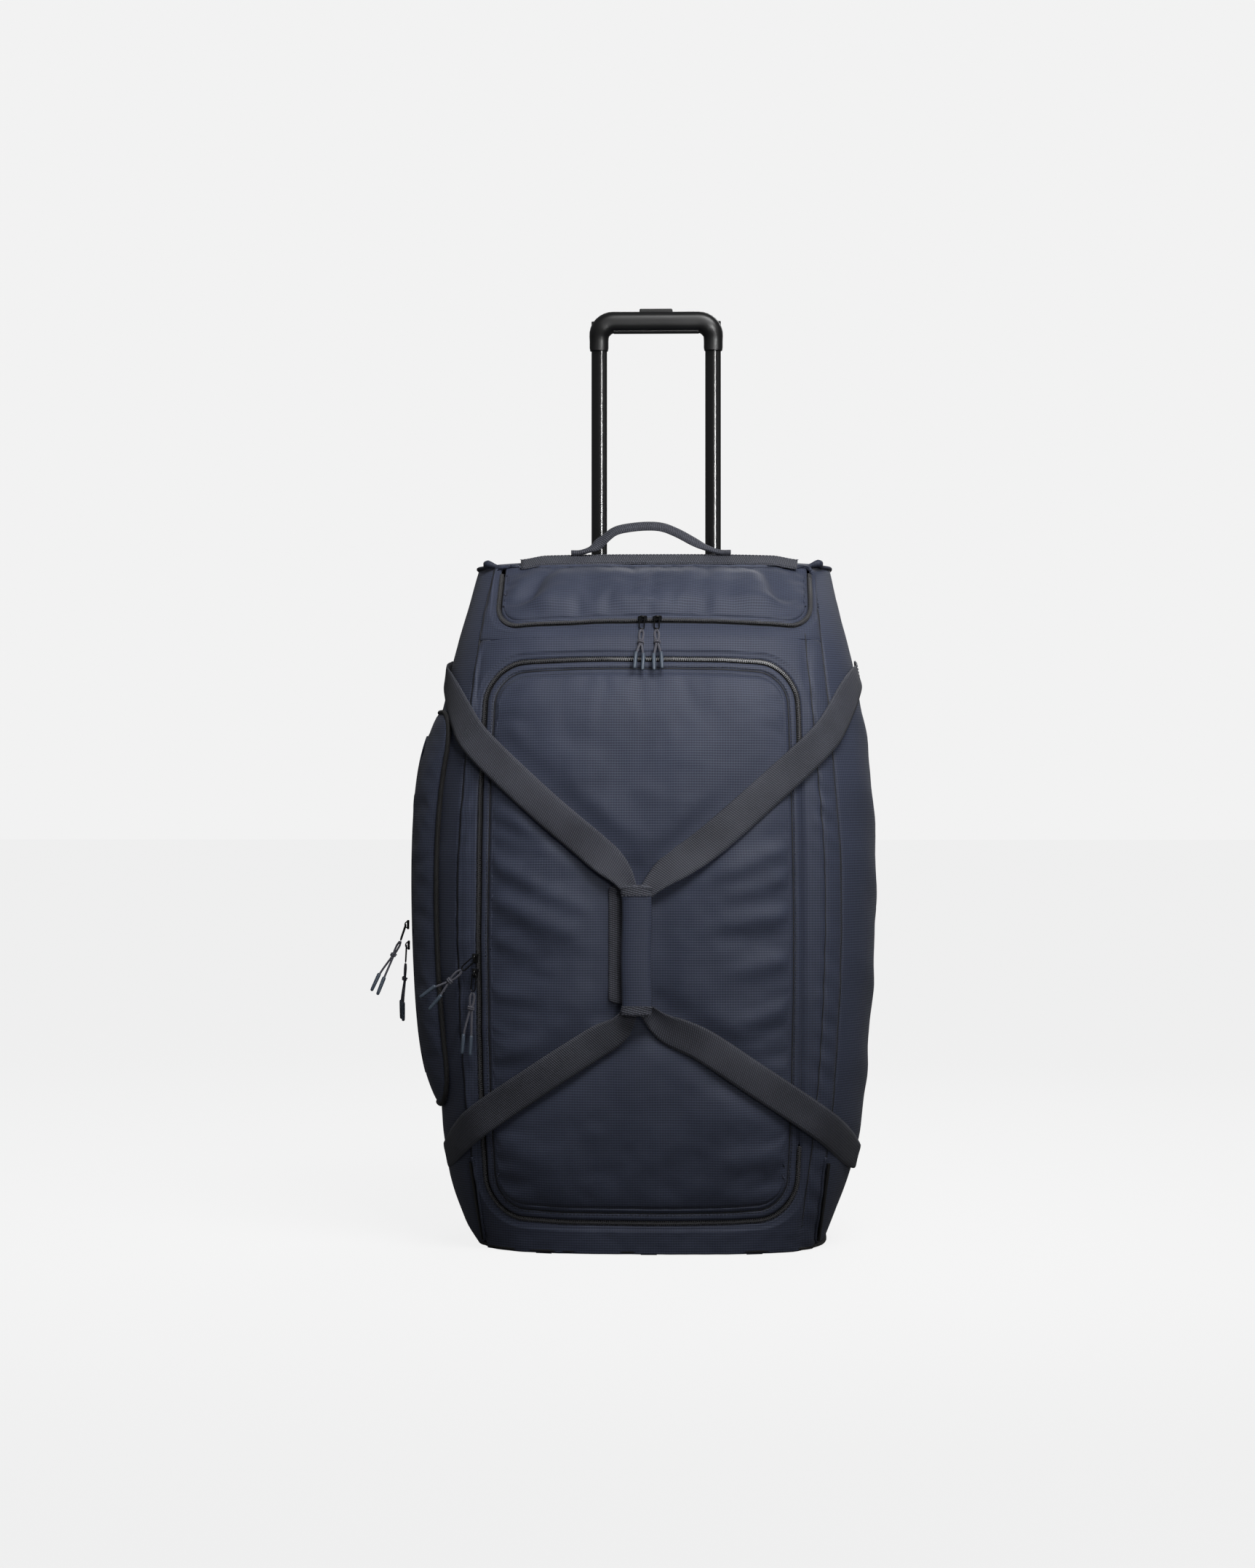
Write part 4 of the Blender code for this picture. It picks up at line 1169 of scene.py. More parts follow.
class DUFFEL_OT_pull_cords(bpy.types.Operator):
    """Hang the two cords, the knot and the tips of each zip pull"""

    bl_idname = "duffel.pull_cords"
    bl_label = "Pull cords"

    def execute(self, context):
        across = context.scene.duffel_sizes.cord_diameter
        for prefix in PULLS:
            self.hang_pull(prefix, across)
        return {"FINISHED"}

    def hang_pull(self, prefix, diameter):
        _, normal, _, hang, _, apex, tips = pull_frame(prefix)
        body = f"{prefix}_pull"
        middle = ((tips[0] - apex).normalized() + (tips[1] - apex).normalized()).normalized()
        aside = ((tips[0] - apex).normalized() - (tips[1] - apex).normalized()).normalized()
        knot_at = apex + middle * 0.017
        for k, (tip, side) in enumerate(zip(tips, (1, -1), strict=True)):
            bow = normal * 0.0012 + aside * side * 0.0016
            half_way = knot_at.lerp(tip, 0.55) + bow
            start = apex - middle * 0.0006 + aside * side * 0.0007
            path = smooth_line([
                start, apex + middle * 0.004 + aside * side * 0.0023,
                apex + middle * 0.011 + aside * side * 0.0020,
                knot_at + aside * side * 0.0009,
                knot_at + middle * 0.004 + aside * side * 0.0013, half_way, tip,
            ], 5)
            curve = bpy.data.curves.new(f"{prefix}_cord_{k + 1}", "CURVE")
            curve.dimensions = "3D"
            line = curve.splines.new("POLY")
            line.points.add(len(path) - 1)
            for point, place in zip(line.points, path, strict=True):
                point.co = (*place, 1.0)
            curve.bevel_depth = diameter / 2
            curve.bevel_resolution = 3
            curve.use_fill_caps = True
            curve.materials.append(looks()["cord"])
            made = bpy.data.objects.new(curve.name, curve)
            bpy.context.scene.collection.objects.link(made)
            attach(made, body)
            if k == 0:
                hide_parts(f"{prefix}_pull_cord")
            cap = self.add_tip(prefix, k, path, body)
        self.add_knot(prefix, knot_at, middle, aside, normal, body)

    def add_tip(self, prefix, k, path, body):
        """A tapered moulded tip over the cord's last stretch."""
        end = path[-1]
        run = (path[-1] - path[-4]).normalized()
        start = end - run * 0.022
        line = [start.lerp(end + run * 0.0008, s) for s in
                (0.0, 0.03, 0.08, 0.3, 0.6, 0.85, 0.95, 0.985, 1.0)]
        radii = [0.00140, 0.00200, 0.00225, 0.00222, 0.00212, 0.00198, 0.00180, 0.00130,
                 0.00060]
        up = run.cross(Vector((0.3, 0.9, 0.2))).normalized()
        return lay_tube(f"{prefix}_tip_{k + 1}", line, radii, "tip", body, 14,
                        [up] * len(line))

    def add_knot(self, prefix, centre, middle, aside, normal, body):
        """An overhand knot: one cord wound twice round the other two."""
        path = []
        for i in range(25):
            a = 2 * math.pi * 1.6 * i / 24
            path.append(centre + middle * (0.0030 * (i / 24 - 0.5))
                        + aside * (0.0028 * math.cos(a)) + normal * (0.0022 * math.sin(a)))
        lay_tube(f"{prefix}_knot", path, 0.00115, "cord", body, 10,
                 [middle] * len(path))


def inner_seam(z):
    """The seam between the two strips beside the lid's sewn side."""
    return along(FRONT_HALF, z) - 0.0200


def border_height(x, z):
    """Swell of the front border between the zips and its edge, drawn in along each seam."""
    centre, half = (LID_LOW + LID_HIGH) / 2, (LID_HIGH - LID_LOW) / 2
    near = abs(x - LID_MIDDLE_X) - LID_HALF + LID_BARREL * ((z - centre) / half) ** 2 - 0.008
    far = along(FRONT_HALF, z) - abs(x)
    beside = ease(near, -0.004, 0.002)
    t = max(0.0, min(1.0, near / max(0.004, near + far)))
    swell = 0.0011 + 0.0018 * (math.sin(math.pi * t) * beside + (1 - beside))
    swell -= 0.0022 * math.exp(-((far / 0.0022) ** 2))
    if x > 0:
        seam = math.exp(-(((x - inner_seam(z)) / 0.0019) ** 2))
        swell -= 0.0018 * (1 - ease(z, 0.66, 0.70)) * seam
    else:
        swell += 0.0012 * math.exp(-(((far - 0.0045) / 0.0020) ** 2))
    brow = math.exp(-(((z - 0.6995) / 0.012) ** 2)) * 0.0030 * (1 - ease(abs(x), 0.12, 0.20))
    place = noise.noise(Vector((x * 9, z * 6, 1.5)))
    ripples = 0.0019 * math.sin(z * 170.0 + abs(x) * 210.0 + 6.0 * place)
    uneven = 0.35 + 0.65 * noise.noise(Vector((z * 11, 4, 0)))
    ripples *= beside * math.sin(math.pi * t) * uneven
    ripples *= 1 - ease(z, 0.62, 0.70)
    return swell + brow + ripples + front_relief(x, z) + pucker(x, z, 5.0, 0.0006, 0.014)


class DUFFEL_OT_front(bpy.types.Operator):
    """Sew the front: the border round the lid and the top flap"""

    bl_idname = "duffel.front"
    bl_label = "Front border"

    edge = [(0.0026, -0.0022), (0.0029, -0.0006), (0.0036, 0.0006), (0.0052, 0.0013),
            (0.0080, 0.0011)]

    def execute(self, context):
        self.half_border("front_border", LID, SKIRT_LOW, BROW + 0.0006, 20, ["front_border"])
        self.half_border("brow_border", FLAP, BROW - 0.0006, WALL_HIGH, 9)
        self.add_seams()
        return {"FINISHED"}

    def half_border(self, name, opening, z_low, z_high, steps, nodes=()):
        """The cloth from a zip out to the panel's edge."""
        rings, places = edge_rings(opening, self.edge)
        last = self.edge[-1][0]
        inner = opening.loop(last)
        centre = (opening.low + opening.high) / 2
        tall = (opening.high - opening.low) / 2 + last
        wide = opening.half + last
        aims = [((x - opening.middle) / wide, (z - centre) / tall) for x, z in inner]
        corners = self.corner_points(aims)
        for step in range(1, steps + 1):
            t = step / steps
            points, marks = [], []
            for k, ((x, z), (u, v)) in enumerate(zip(inner, aims, strict=True)):
                if k in corners:
                    u, v = math.copysign(1, u), math.copysign(1, v)
                s = max(abs(u), abs(v))
                far_z = (z_low + z_high) / 2 + (v / s) * (z_high - z_low) / 2
                far_x = (u / s) * along(FRONT_HALF, far_z)
                px, pz = x + (far_x - x) * t, z + (far_z - z) * t
                tuck = 0.0009 if opening is LID and step == steps and pz > 0.69 else 0.0
                points.append(front_point(px, pz, border_height(px, pz) - tuck))
                marks.append(weave_at(px, pz))
            rings.append(points)
            places.append(marks)
        mesh = face_out(closed_grid(name, rings, places))
        thicken(add_piece(mesh, "ripstop", "bag", nodes))

    def corner_points(self, aims):
        """Numbers of the points that lead to the four corners of the panel."""
        best = {}
        for k, (u, v) in enumerate(aims):
            corner = (u > 0, v > 0)
            miss = abs(abs(u) - abs(v))
            if corner not in best or miss < best[corner][0]:
                best[corner] = (miss, k)
        return {k for _, k in best.values()}

    def add_seams(self):
        """The dark lines where panels are sewn together, and the piping at the foot."""
        def line(name, look, xs, z_low, z_high, steps, radius, out):
            path = []
            for i in range(steps + 1):
                z = z_low + (z_high - z_low) * i / steps
                path.append(front_point(xs(z), z, out + border_height(xs(z), z)))
            lay_tube(name, path, radius, look)

        def half(z):
            return along(FRONT_HALF, z)

        line("right_inner_seam", "seam", inner_seam, 0.030, 0.705, 100, 0.0008, 0.0002)
        line("right_edge_seam", "seam", half, 0.018, 0.786, 100, 0.0009, 0.0002)
        line("left_edge_seam", "seam", lambda z: 0.0014 - half(z), 0.018, 0.786, 100, 0.0009,
             0.0002)
        line("left_corner_piping", "binding", lambda z: 0.0042 - half(z), 0.012, 0.110, 40,
             0.0015, 0.0012)
        line("right_corner_piping", "binding", lambda z: half(z) - 0.0042, 0.012, 0.110, 40,
             0.0015, 0.0012)


class DUFFEL_OT_lid(bpy.types.Operator):
    """Sew and fill the padded lid"""

    bl_idname = "duffel.lid"
    bl_label = "Lid"

    edge = [(-0.0026, -0.0022), (-0.0029, -0.0006), (-0.0036, 0.0006), (-0.0052, 0.0014),
            (-0.0078, 0.0014), (-0.0096, 0.0008), (-0.0106, -0.0006), (-0.0114, -0.0006),
            (-0.0124, 0.0010), (-0.0144, 0.0022)]

    def execute(self, context):
        inset = self.edge[-1][0] - 0.0025
        filled_panel("lid_panel", LID, inset, self.height, "lid", (3.0, 0.012, under_strap))
        bound_edge("lid_edge", LID, self.edge, inset, self.height, "lid")
        path, _ = ring_points(LID, -0.0110, -0.0002)
        lay_tube("lid_seam", path, 0.0008, "seam", "lid", closed=True)
        path, _ = ring_points(LID, -0.0092, 0.0011)
        lay_stitches("lid_stitches", path, "seam", "lid",
                     shape=(0.0030, 0.0014, 0.00035))
        return {"FINISHED"}

    def height(self, x, z):
        puff = bpy.context.scene.duffel_sizes.lid_puff
        wide = LID_HALF - 0.017 - abs(x - LID_MIDDLE_X)
        tall = 0.303 - abs(z - 0.357) - 0.006 * abs((x - LID_MIDDLE_X) / LID_HALF) ** 3
        near = max(0.0, min(wide, tall))
        aside = max(0.0, abs(x + 0.018) - 0.024)
        above = max(0.0, abs(z - 0.350) - 0.072)
        held = math.exp(-((aside / 0.030) ** 2 + (above / 0.026) ** 2))
        swell = puff * (1 - math.exp(-near / 0.022)) * (1 - held) - 0.0016 * held
        folds = 1.5 * fold_height(x, z, LID_FOLDS) * (1 - held)
        soft = crumple(x, z, 7.0, 0.0022, 0.06) * ease(near, 0.0, 0.03)
        free = swell + folds * ease(near, -0.004, 0.012) + soft + front_relief(x, z)
        return 0.0028 + free - (free - min(free, 0.0018)) * under_strap(x, z)


class DUFFEL_OT_top_flap(bpy.types.Operator):
    """Sew and fill the flap over the top compartment"""

    bl_idname = "duffel.top_flap"
    bl_label = "Top flap"

    edge = [(-0.0026, -0.0022), (-0.0029, -0.0006), (-0.0036, 0.0006), (-0.0050, 0.0012)]

    def execute(self, context):
        filled_panel("flap_panel", FLAP, -FLAP_INSET, self.height, "top_flap", (4.0, 0.02))
        bound_edge("flap_edge", FLAP, self.edge, -FLAP_INSET, self.height, "top_flap")
        return {"FINISHED"}

    def height(self, x, z):
        """Fullest along the middle, dimpled at both ends, with soft upright ribs."""
        puff = bpy.context.scene.duffel_sizes.flap_puff
        low = z - (FLAP_LOW + FLAP_INSET)
        side = FLAP_HALF - 0.0005 - abs(x - FLAP_MIDDLE_X)
        rise = ease(low, 0.0, 0.016) * (1 - ease(z, 0.768, 0.789))
        swell = puff * rise * ease(side, 0.0, 0.05)
        lean = 0.020 + 0.45 * low
        dimple = -0.0120 * math.exp(-(((side - lean) / 0.013) ** 2)) * ease(low, 0.006, 0.025)
        dimple *= 1 - ease(z, 0.768, 0.785)
        ribs = 0.0007 * math.sin(x * 105.0 + 5.0 * noise.noise(Vector((x * 12, z * 9, 4))))
        ribs *= ease(low, 0.0, 0.012) * ease(side, 0.0, 0.03) * (1 - ease(z, 0.775, 0.789))
        soft = crumple(x, z * 1.6, 9.0, 0.0018, 0.04) * ease(min(low, side), 0.0, 0.01)
        soft *= 1 - ease(z, 0.775, 0.789)
        return 0.0012 + swell + dimple + ribs + soft + front_relief(x, z)


class DUFFEL_OT_walls(bpy.types.Operator):
    """Sew the two side walls, the back and the top"""

    bl_idname = "duffel.walls"
    bl_label = "Walls"

    def execute(self, context):
        def edge(z):
            return angle_at_x(along(FRONT_HALF, z), z)

        self.wall("right_side_panel", edge, lambda z: -edge(z), 44, 1)
        self.wall("left_side_panel", lambda z: math.pi + edge(z), lambda z: math.pi - edge(z),
                  44, -1)
        self.wall("back_panel", lambda z: -edge(z), lambda z: math.pi + edge(z), 50, 0)
        self.top()
        self.rim()
        path = [body_point(a, 0.0036, 0.0008) for a in turns(160)]
        lay_tube("base_binding", path, 0.0021, "tape", sides=10,
                 normals=[UP] * 160, closed=True)
        for word, side in SIDES:
            path = []
            for i in range(101):
                z = 0.018 + 0.765 * i / 100
                found = body_point(-edge(z), z, 0.0006)
                found.x *= side
                path.append(found)
            lay_tube(f"{word}_back_piping", path, 0.0020, "binding", sides=10)
        return {"FINISHED"}

    def wall(self, name, first, last, columns, side):
        """A wall between two lines up the body, each given as an angle for a height."""
        steps = 110
        rows = []
        for i in range(steps + 1):
            z = SKIRT_LOW + (WALL_HIGH - SKIRT_LOW) * i / steps
            a, b = first(z), last(z)
            row = []
            for j in range(columns + 1):
                share = j / columns
                base = body_point(a + (b - a) * share, z)
                row.append(raised(base, self.height(base, share, z, side)))
            rows.append(row)
        mesh = face_out(grid_mesh(name, rows, cloth_places(rows)))
        thicken(add_piece(mesh, "ripstop", "bag", [name]))

    def height(self, base, share, z, side):
        deep = bpy.context.scene.duffel_sizes.wall_fold / 0.003
        edges = math.sin(math.pi * share) ** 0.5 if 0 < share < 1 else 0.0
        ends = ease(z, 0.02, 0.06) * (1 - ease(z, 0.75, 0.785))
        hold = edges * ends
        if side:
            folds = fold_height(base.y, z, SIDE_FOLDS) - 0.0012
            soft = crumple(base.y, z, 20.0 + side, 0.0014, 0.07)
            foot = 0.0085 * (1 - ease(z, 0.05, 0.15)) if side < 0 else 0.0
            return hold * ((folds + soft) * deep * 0.5) + foot * edges * ease(z, -0.02, 0.03)
        folds = fold_height(base.x, z, BACK_FOLDS)
        rails = 0.0012 * math.exp(-(((abs(base.x) - 0.069) / 0.016) ** 2))
        return hold * (folds + rails + crumple(base.x, z, 31.0, 0.0010, 0.07))

    def top(self):
        """The crowned top, drawn down along its front edge."""
        rings, sides = 22, 96
        middle = section(WALL_HIGH)[1]
        rows = []
        for i in range(rings + 1):
            share = max(0.0005, i / rings)
            row = []
            for j in range(sides + 1):
                angle = 2 * math.pi * j / sides
                p = body_point(angle, WALL_HIGH)
                front = ease(-math.sin(angle), 0.3, 0.9)
                z = TOP_EDGE + TOP_CROWN * (1 - share**2) - 0.0015 * ease(share, 0.9, 1.0)
                z -= 0.0042 * front * ease(share, 0.86, 1.0)
                x, y = p.x * share, middle + (p.y - middle) * share
                z += crumple(x, y, 41.0, 0.0008, 0.05) * (1 - share)
                row.append(Vector((x, y, z)))
            rows.append(row)
        places = [[(p.x, p.y) for p in row] for row in rows]
        mesh = face_out(grid_mesh("top_panel", rows, places))
        thicken(add_piece(mesh, "ripstop", "bag", ["top_panel"]))

    def rim(self):
        """The bound seam round the top, pinched into an ear at each front corner."""
        path, radii = [], []
        start, end = -0.28 * math.pi, 1.28 * math.pi
        for i in range(161):
            a = start + (end - start) * i / 160
            p = body_point(a, WALL_HIGH, 0.0010)
            near = min(abs(a + 0.17 * math.pi), abs(a - 1.17 * math.pi))
            ear = math.exp(-((near / 0.07) ** 2))
            push = outward(p)
            push.z = 0.0
            lift = Vector((0, 0, 0.001 + 0.004 * ear))
            path.append(p + push.normalized() * (0.006 * ear) + lift)
            radii.append(0.0021 + 0.0022 * ear)
        lay_tube("top_rim_binding", path, radii, "binding", sides=12,
                 normals=[UP] * len(path))


def pocket_inset(z):
    """How far the pocket's rounded corners draw its outline in, as a share of its width."""
    middle, half = (POCKET_Z[0] + POCKET_Z[1]) / 2, (POCKET_Z[1] - POCKET_Z[0]) / 2
    t = min(1.0, max(0.0, (abs(z - middle) - half + 0.055) / 0.055))
    return 0.20 * (1 - math.sqrt(max(0.0, 1 - t * t)))


class DUFFEL_OT_side_pocket(bpy.types.Operator):
    """Sew the pocket on the left wall"""

    bl_idname = "duffel.side_pocket"
    bl_label = "Side pocket"

    def execute(self, context):
        row_count, columns = 84, 46
        rows = []
        for i in range(row_count + 1):
            h = i / row_count
            z = POCKET_Z[0] + (POCKET_Z[1] - POCKET_Z[0]) * h
            row = []
            inset = pocket_inset(z)
            for j in range(columns + 1):
                share = inset + (1 - 2 * inset) * j / columns
                side = min(share, 1 - share)
                out = pocket_out(share, z) + 0.0012 + 0.0016 * ease(side, 0, 0.03)
                folds = crumple(share * 0.26, z, 51.0, 0.0018, 0.05)
                folds += 0.0016 * math.sin(z * 60 + share * 9) * ease(share, 0.45, 0.6)
                valley = math.exp(-(((share - POCKET_ZIP_SHARE) / 0.022) ** 2))
                valley *= ease(z, 0.185, 0.20) * (1 - ease(z, 0.588, 0.602))
                hold = ease(min(side, h, 1 - h), 0.0, 0.08)
                out += folds * hold * (1 - valley) - 0.0012 * valley
                row.append(pocket_point(share, z, out))
            rows.append(row)
        mesh = face_out(grid_mesh("pocket_panel", rows, cloth_places(rows)))
        made = add_piece(mesh, "ripstop", "bag", ["side_pocket"])

        def by_zip(j):
            return abs(j / columns - POCKET_ZIP_SHARE) < 0.03

        settle(made, sewn_points(row_count + 1, columns + 1, by_zip), 2.0, 0.008)
        thicken(made, context.scene.duffel_sizes.fabric_thick * 0.6)
        self.add_binding()
        return {"FINISHED"}

    def add_binding(self):
        """Piping round the pocket's outline."""
        low, high = POCKET_Z
        heights = [low + (high - low) * (0.5 - 0.5 * math.cos(math.pi * i / 40))
                   for i in range(41)]
        outline = [(pocket_inset(z), z) for z in heights]
        outline += [(0.20 + 0.60 * i / 10, high) for i in range(1, 10)]
        outline += [(1 - pocket_inset(z), z) for z in reversed(heights)]
        outline += [(0.80 - 0.60 * i / 10, low) for i in range(1, 10)]
        path = [pocket_point(share, z, 0.0028) for share, z in outline]
        lay_tube("pocket_piping", path, 0.0027, "tape", sides=10, closed=True)


class DUFFEL_OT_zips(bpy.types.Operator):
    """Lay the tapes, teeth, sliders and rings of the three zips"""

    bl_idname = "duffel.zips"
    bl_label = "Zips"

    def execute(self, context):
        self.front_zip("lid_zip", LID, lambda x, z: hinged(x, z) < 0.5, "lid", 0.0010)
        self.front_zip("flap_zip", FLAP, lambda x, z: z < FLAP_EDGE_HIGH - 0.009, "top_flap",
                       0.0017)
        self.pocket_zip()
        for prefix in PULLS:
            self.add_slider(prefix)
            self.add_ring(prefix)
        return {"FINISHED"}

    def zip_run(self, opening, keep):
        """Numbers of the outline's points that the zip follows, in order."""
        kept = [keep(x, z) for x, z in opening.loop(0.0)]
        count = len(kept)
        start = next(k for k in range(count) if kept[k] and not kept[k - 1])
        order = []
        for k in range(count):
            if not kept[(start + k) % count]:
                break
            order.append((start + k) % count)
        return order

    def front_zip(self, name, opening, keep, body, proud):
        """The tapes on both sides of a zip in the front, and its teeth."""
        order = self.zip_run(opening, keep)
        for word, sign, rides in (("outer", 1, "bag"), ("inner", -1, body)):
            grows = (0.0003, -0.0016), (0.0024, -0.0020), (0.0044, -0.0030)
            lines = []
            for grow, height in grows:
                loop = opening.loop(sign * grow)
                lines.append([self.on_front(*loop[k], height) for k in order])
            rows = list(zip(*lines, strict=True))
            marks = run_marks(lines[0])
            places = [[(sign * grow, mark) for grow, _ in grows] for mark in marks]
            mesh = face_out(grid_mesh(f"{name}_{word}_tape", rows, places))
            thicken(add_piece(mesh, "tape", rides), 0.0006)
        loop = opening.loop(0.0)
        path = [self.on_front(*loop[k], proud) for k in order]
        self.add_teeth(name, path, [outward(p) for p in path], body)

    def on_front(self, x, z, height):
        return front_point(x, z, height + front_relief(x, z))

    def add_teeth(self, name, path, normals, body):
        mesh = teeth_mesh(f"{name}_teeth", path, normals)
        # The teeth take the lightened zip-teeth finish, whose colour carries a painted highlight.
        add_piece(mesh, "teeth", body, [name], 30)

    def pocket_zip(self):
        """The pocket's zip, sunk between two lips of cloth."""
        path = [pocket_line(0.198 + 0.392 * i / 80, 0.0036) for i in range(81)]
        normals = [outward(p) for p in path]
        mesh = webbing_mesh("pocket_zip_tape", path, normals, [0.0125] * 81, 0.0010)
        add_piece(mesh, "tape", "bag")
        lifted = [p + n * 0.0014 for p, n in zip(path, normals, strict=True)]
        self.add_teeth("pocket_zip", lifted, normals, "bag")
        for word, side in (("front", -1), ("rear", 1)):
            edge = [p + across * (side * 0.0062) + up * 0.0008
                    for p, _, up, across in frames(path, normals)]
            lay_tube(f"pocket_zip_{word}_lip", edge, 0.0016, "binding", normals=normals, flat=0.8)

    def add_slider(self, prefix):
        """A waisted slider body with a raised bridge for the ring."""
        seat, normal, run, _, _, _, _ = pull_frame(prefix)
        across = normal.cross(run).normalized()
        outline = [(-0.0024, -0.0052), (0.0024, -0.0052), (0.0029, -0.0030), (0.0027, 0.0),
                   (0.0038, 0.0032), (0.0036, 0.0052), (0.0012, 0.0056), (0.0, 0.0044),
                   (-0.0012, 0.0056), (-0.0036, 0.0052), (-0.0038, 0.0032), (-0.0027, 0.0),
                   (-0.0029, -0.0030)]
        layers = ((-0.0013, 0.94), (-0.0010, 1.0), (0.0006, 1.0), (0.0011, 0.93), (0.0012, 0.80))
        rings = [[seat + across * (a * scale) + run * (b * scale) + normal * height
                  for a, b in outline] for height, scale in layers]
        body = f"{prefix}_slider"
        mesh = loft(body, rings, [outline] * len(layers))
        add_piece(mesh, "glossy", body, [body], 30)
        path = []
        for i in range(15):
            a = math.pi * i / 14
            rise = normal * (0.0006 + 0.0030 * math.sin(a))
            path.append(seat + run * (0.0036 * math.cos(a)) + rise)
        lay_tube(f"{prefix}_bridge", path, 0.0008, "glossy", body,
                 normals=[across] * 15, flat=1.5)

    def add_ring(self, prefix):
        """The long wire ring between the slider and the cord."""
        _, normal, _, hang, eye, _, _ = pull_frame(prefix)
        across = normal.cross(hang).normalized()
        half, steps = 0.0028, 10
        path = []
        for end, turn in ((BAIL_LENGTH - half, 0), (half, 180)):
            for i in range(steps):
                a = math.radians(turn + 180 * i / (steps - 1))
                path.append(eye + across * half * math.cos(a) + hang * (end + half * math.sin(a)))
        lay_tube(f"{prefix}_ring", path, 0.00075, "glossy", f"{prefix}_pull", 10,
                 [normal] * len(path), True, nodes=[f"{prefix}_bail"])


UPPER_SIDE = [(0.012, 0.668), (-0.040, 0.662), (-0.085, 0.652)]
LOWER_SIDE = [(0.012, 0.098), (-0.040, 0.101), (-0.085, 0.107)]
UPPER_FRONT = [(0.212, 0.612), (0.185, 0.579), (0.114, 0.512), (0.060, 0.464)]
LOWER_FRONT = [(0.212, 0.132), (0.182, 0.156), (0.114, 0.204), (0.060, 0.241)]
STRAP_SEEN = 0.037  # the webbing's width
HANDLE_Y = -0.012
STRAP_LIFTS = {"left": 0.0126, "right": 0.0098}
SEWN_LIFT = 0.0034


def cad_side(side, y, z, out):
    found = body_point(angle_at_y(y, z), z, out)
    found.x *= side
    return found


def strap_path(word, high):
    """The strap's middle line from its sewn end to inside the wrap."""
    side = -1 if word == "left" else 1
    lift = STRAP_LIFTS[word]
    sides = UPPER_SIDE if high else LOWER_SIDE
    fronts = UPPER_FRONT if high else LOWER_FRONT
    tail_z = (0.432, 0.395, 0.365) if high else (0.264, 0.300, 0.330)
    points = [cad_side(side, y, z, SEWN_LIFT) for y, z in sides]
    for (x, z), share in zip(fronts, (0.0, 0.6, 1.0, 1.0), strict=True):
        out = SEWN_LIFT + 0.0008 + (lift - SEWN_LIFT - 0.0008) * share
        points.append(front_base(side * x, z, out))
    points.append(front_base(side * 0.022 - 0.006, tail_z[0], lift))
    points += [front_base(-0.0125, z, lift) for z in tail_z[1:]]
    return smooth_line(points, 12)


class DUFFEL_OT_straps(bpy.types.Operator):
    """Lay the four webbing arms of the carry straps"""

    bl_idname = "duffel.straps"
    bl_label = "Carry straps"

    def execute(self, context):
        for word, hand in SIDES:
            for high in (True, False):
                self.strap(word, high, hand, context.scene.duffel_sizes.strap_thick)
        return {"FINISHED"}

    def strap(self, word, high, hand, thick):
        name = f"strap_{'upper' if high else 'lower'}_{word}"
        path = strap_path(word, high)
        marks = run_marks(path)
        widths, cups, twists = [], [], []
        enter = marks[-1] - 0.105  # where the webbing starts to gather for the wrap
        for m, p in zip(marks, path, strict=True):
            gather = ease(m, enter + 0.004, enter + 0.072)
            start = 1 - 0.30 * (1 - ease(m, 0.06, 0.14))
            widths.append(STRAP_SEEN * start * (1 - 0.66 * gather))
            cups.append(0.0042 * gather + 0.0011 * math.sin(m * 34.0))
            roll = hand * (0.30 if high else -0.16) * ease(m, enter - 0.05, enter + 0.02)
            twists.append(roll * (1 - ease(m, enter + 0.030, enter + 0.075))
                          + 0.09 * math.sin(m * 19.0 + (0 if high else 2)))
            lie = ease(m, 0.10, 0.16)
            p += outward(p) * (0.0010 * math.sin(m * 27.0 + hand) * lie)
        normals = [outward(p) for p in path]
        mesh = webbing_mesh(name, path, normals, widths, thick, cups, twists)
        loop = f"{word}_strap_loop"
        add_piece(mesh, "webbing", loop, [name])
        sewn = frames(path, normals)[:11]
        line = [p + across * 0.0125 + up * 0.0010 for p, _, up, across in sewn]
        line += [p - across * 0.0125 + up * 0.0010 for p, _, up, across in reversed(sewn)]
        lay_stitches(f"{name}_stitches", line, "stitch", loop)


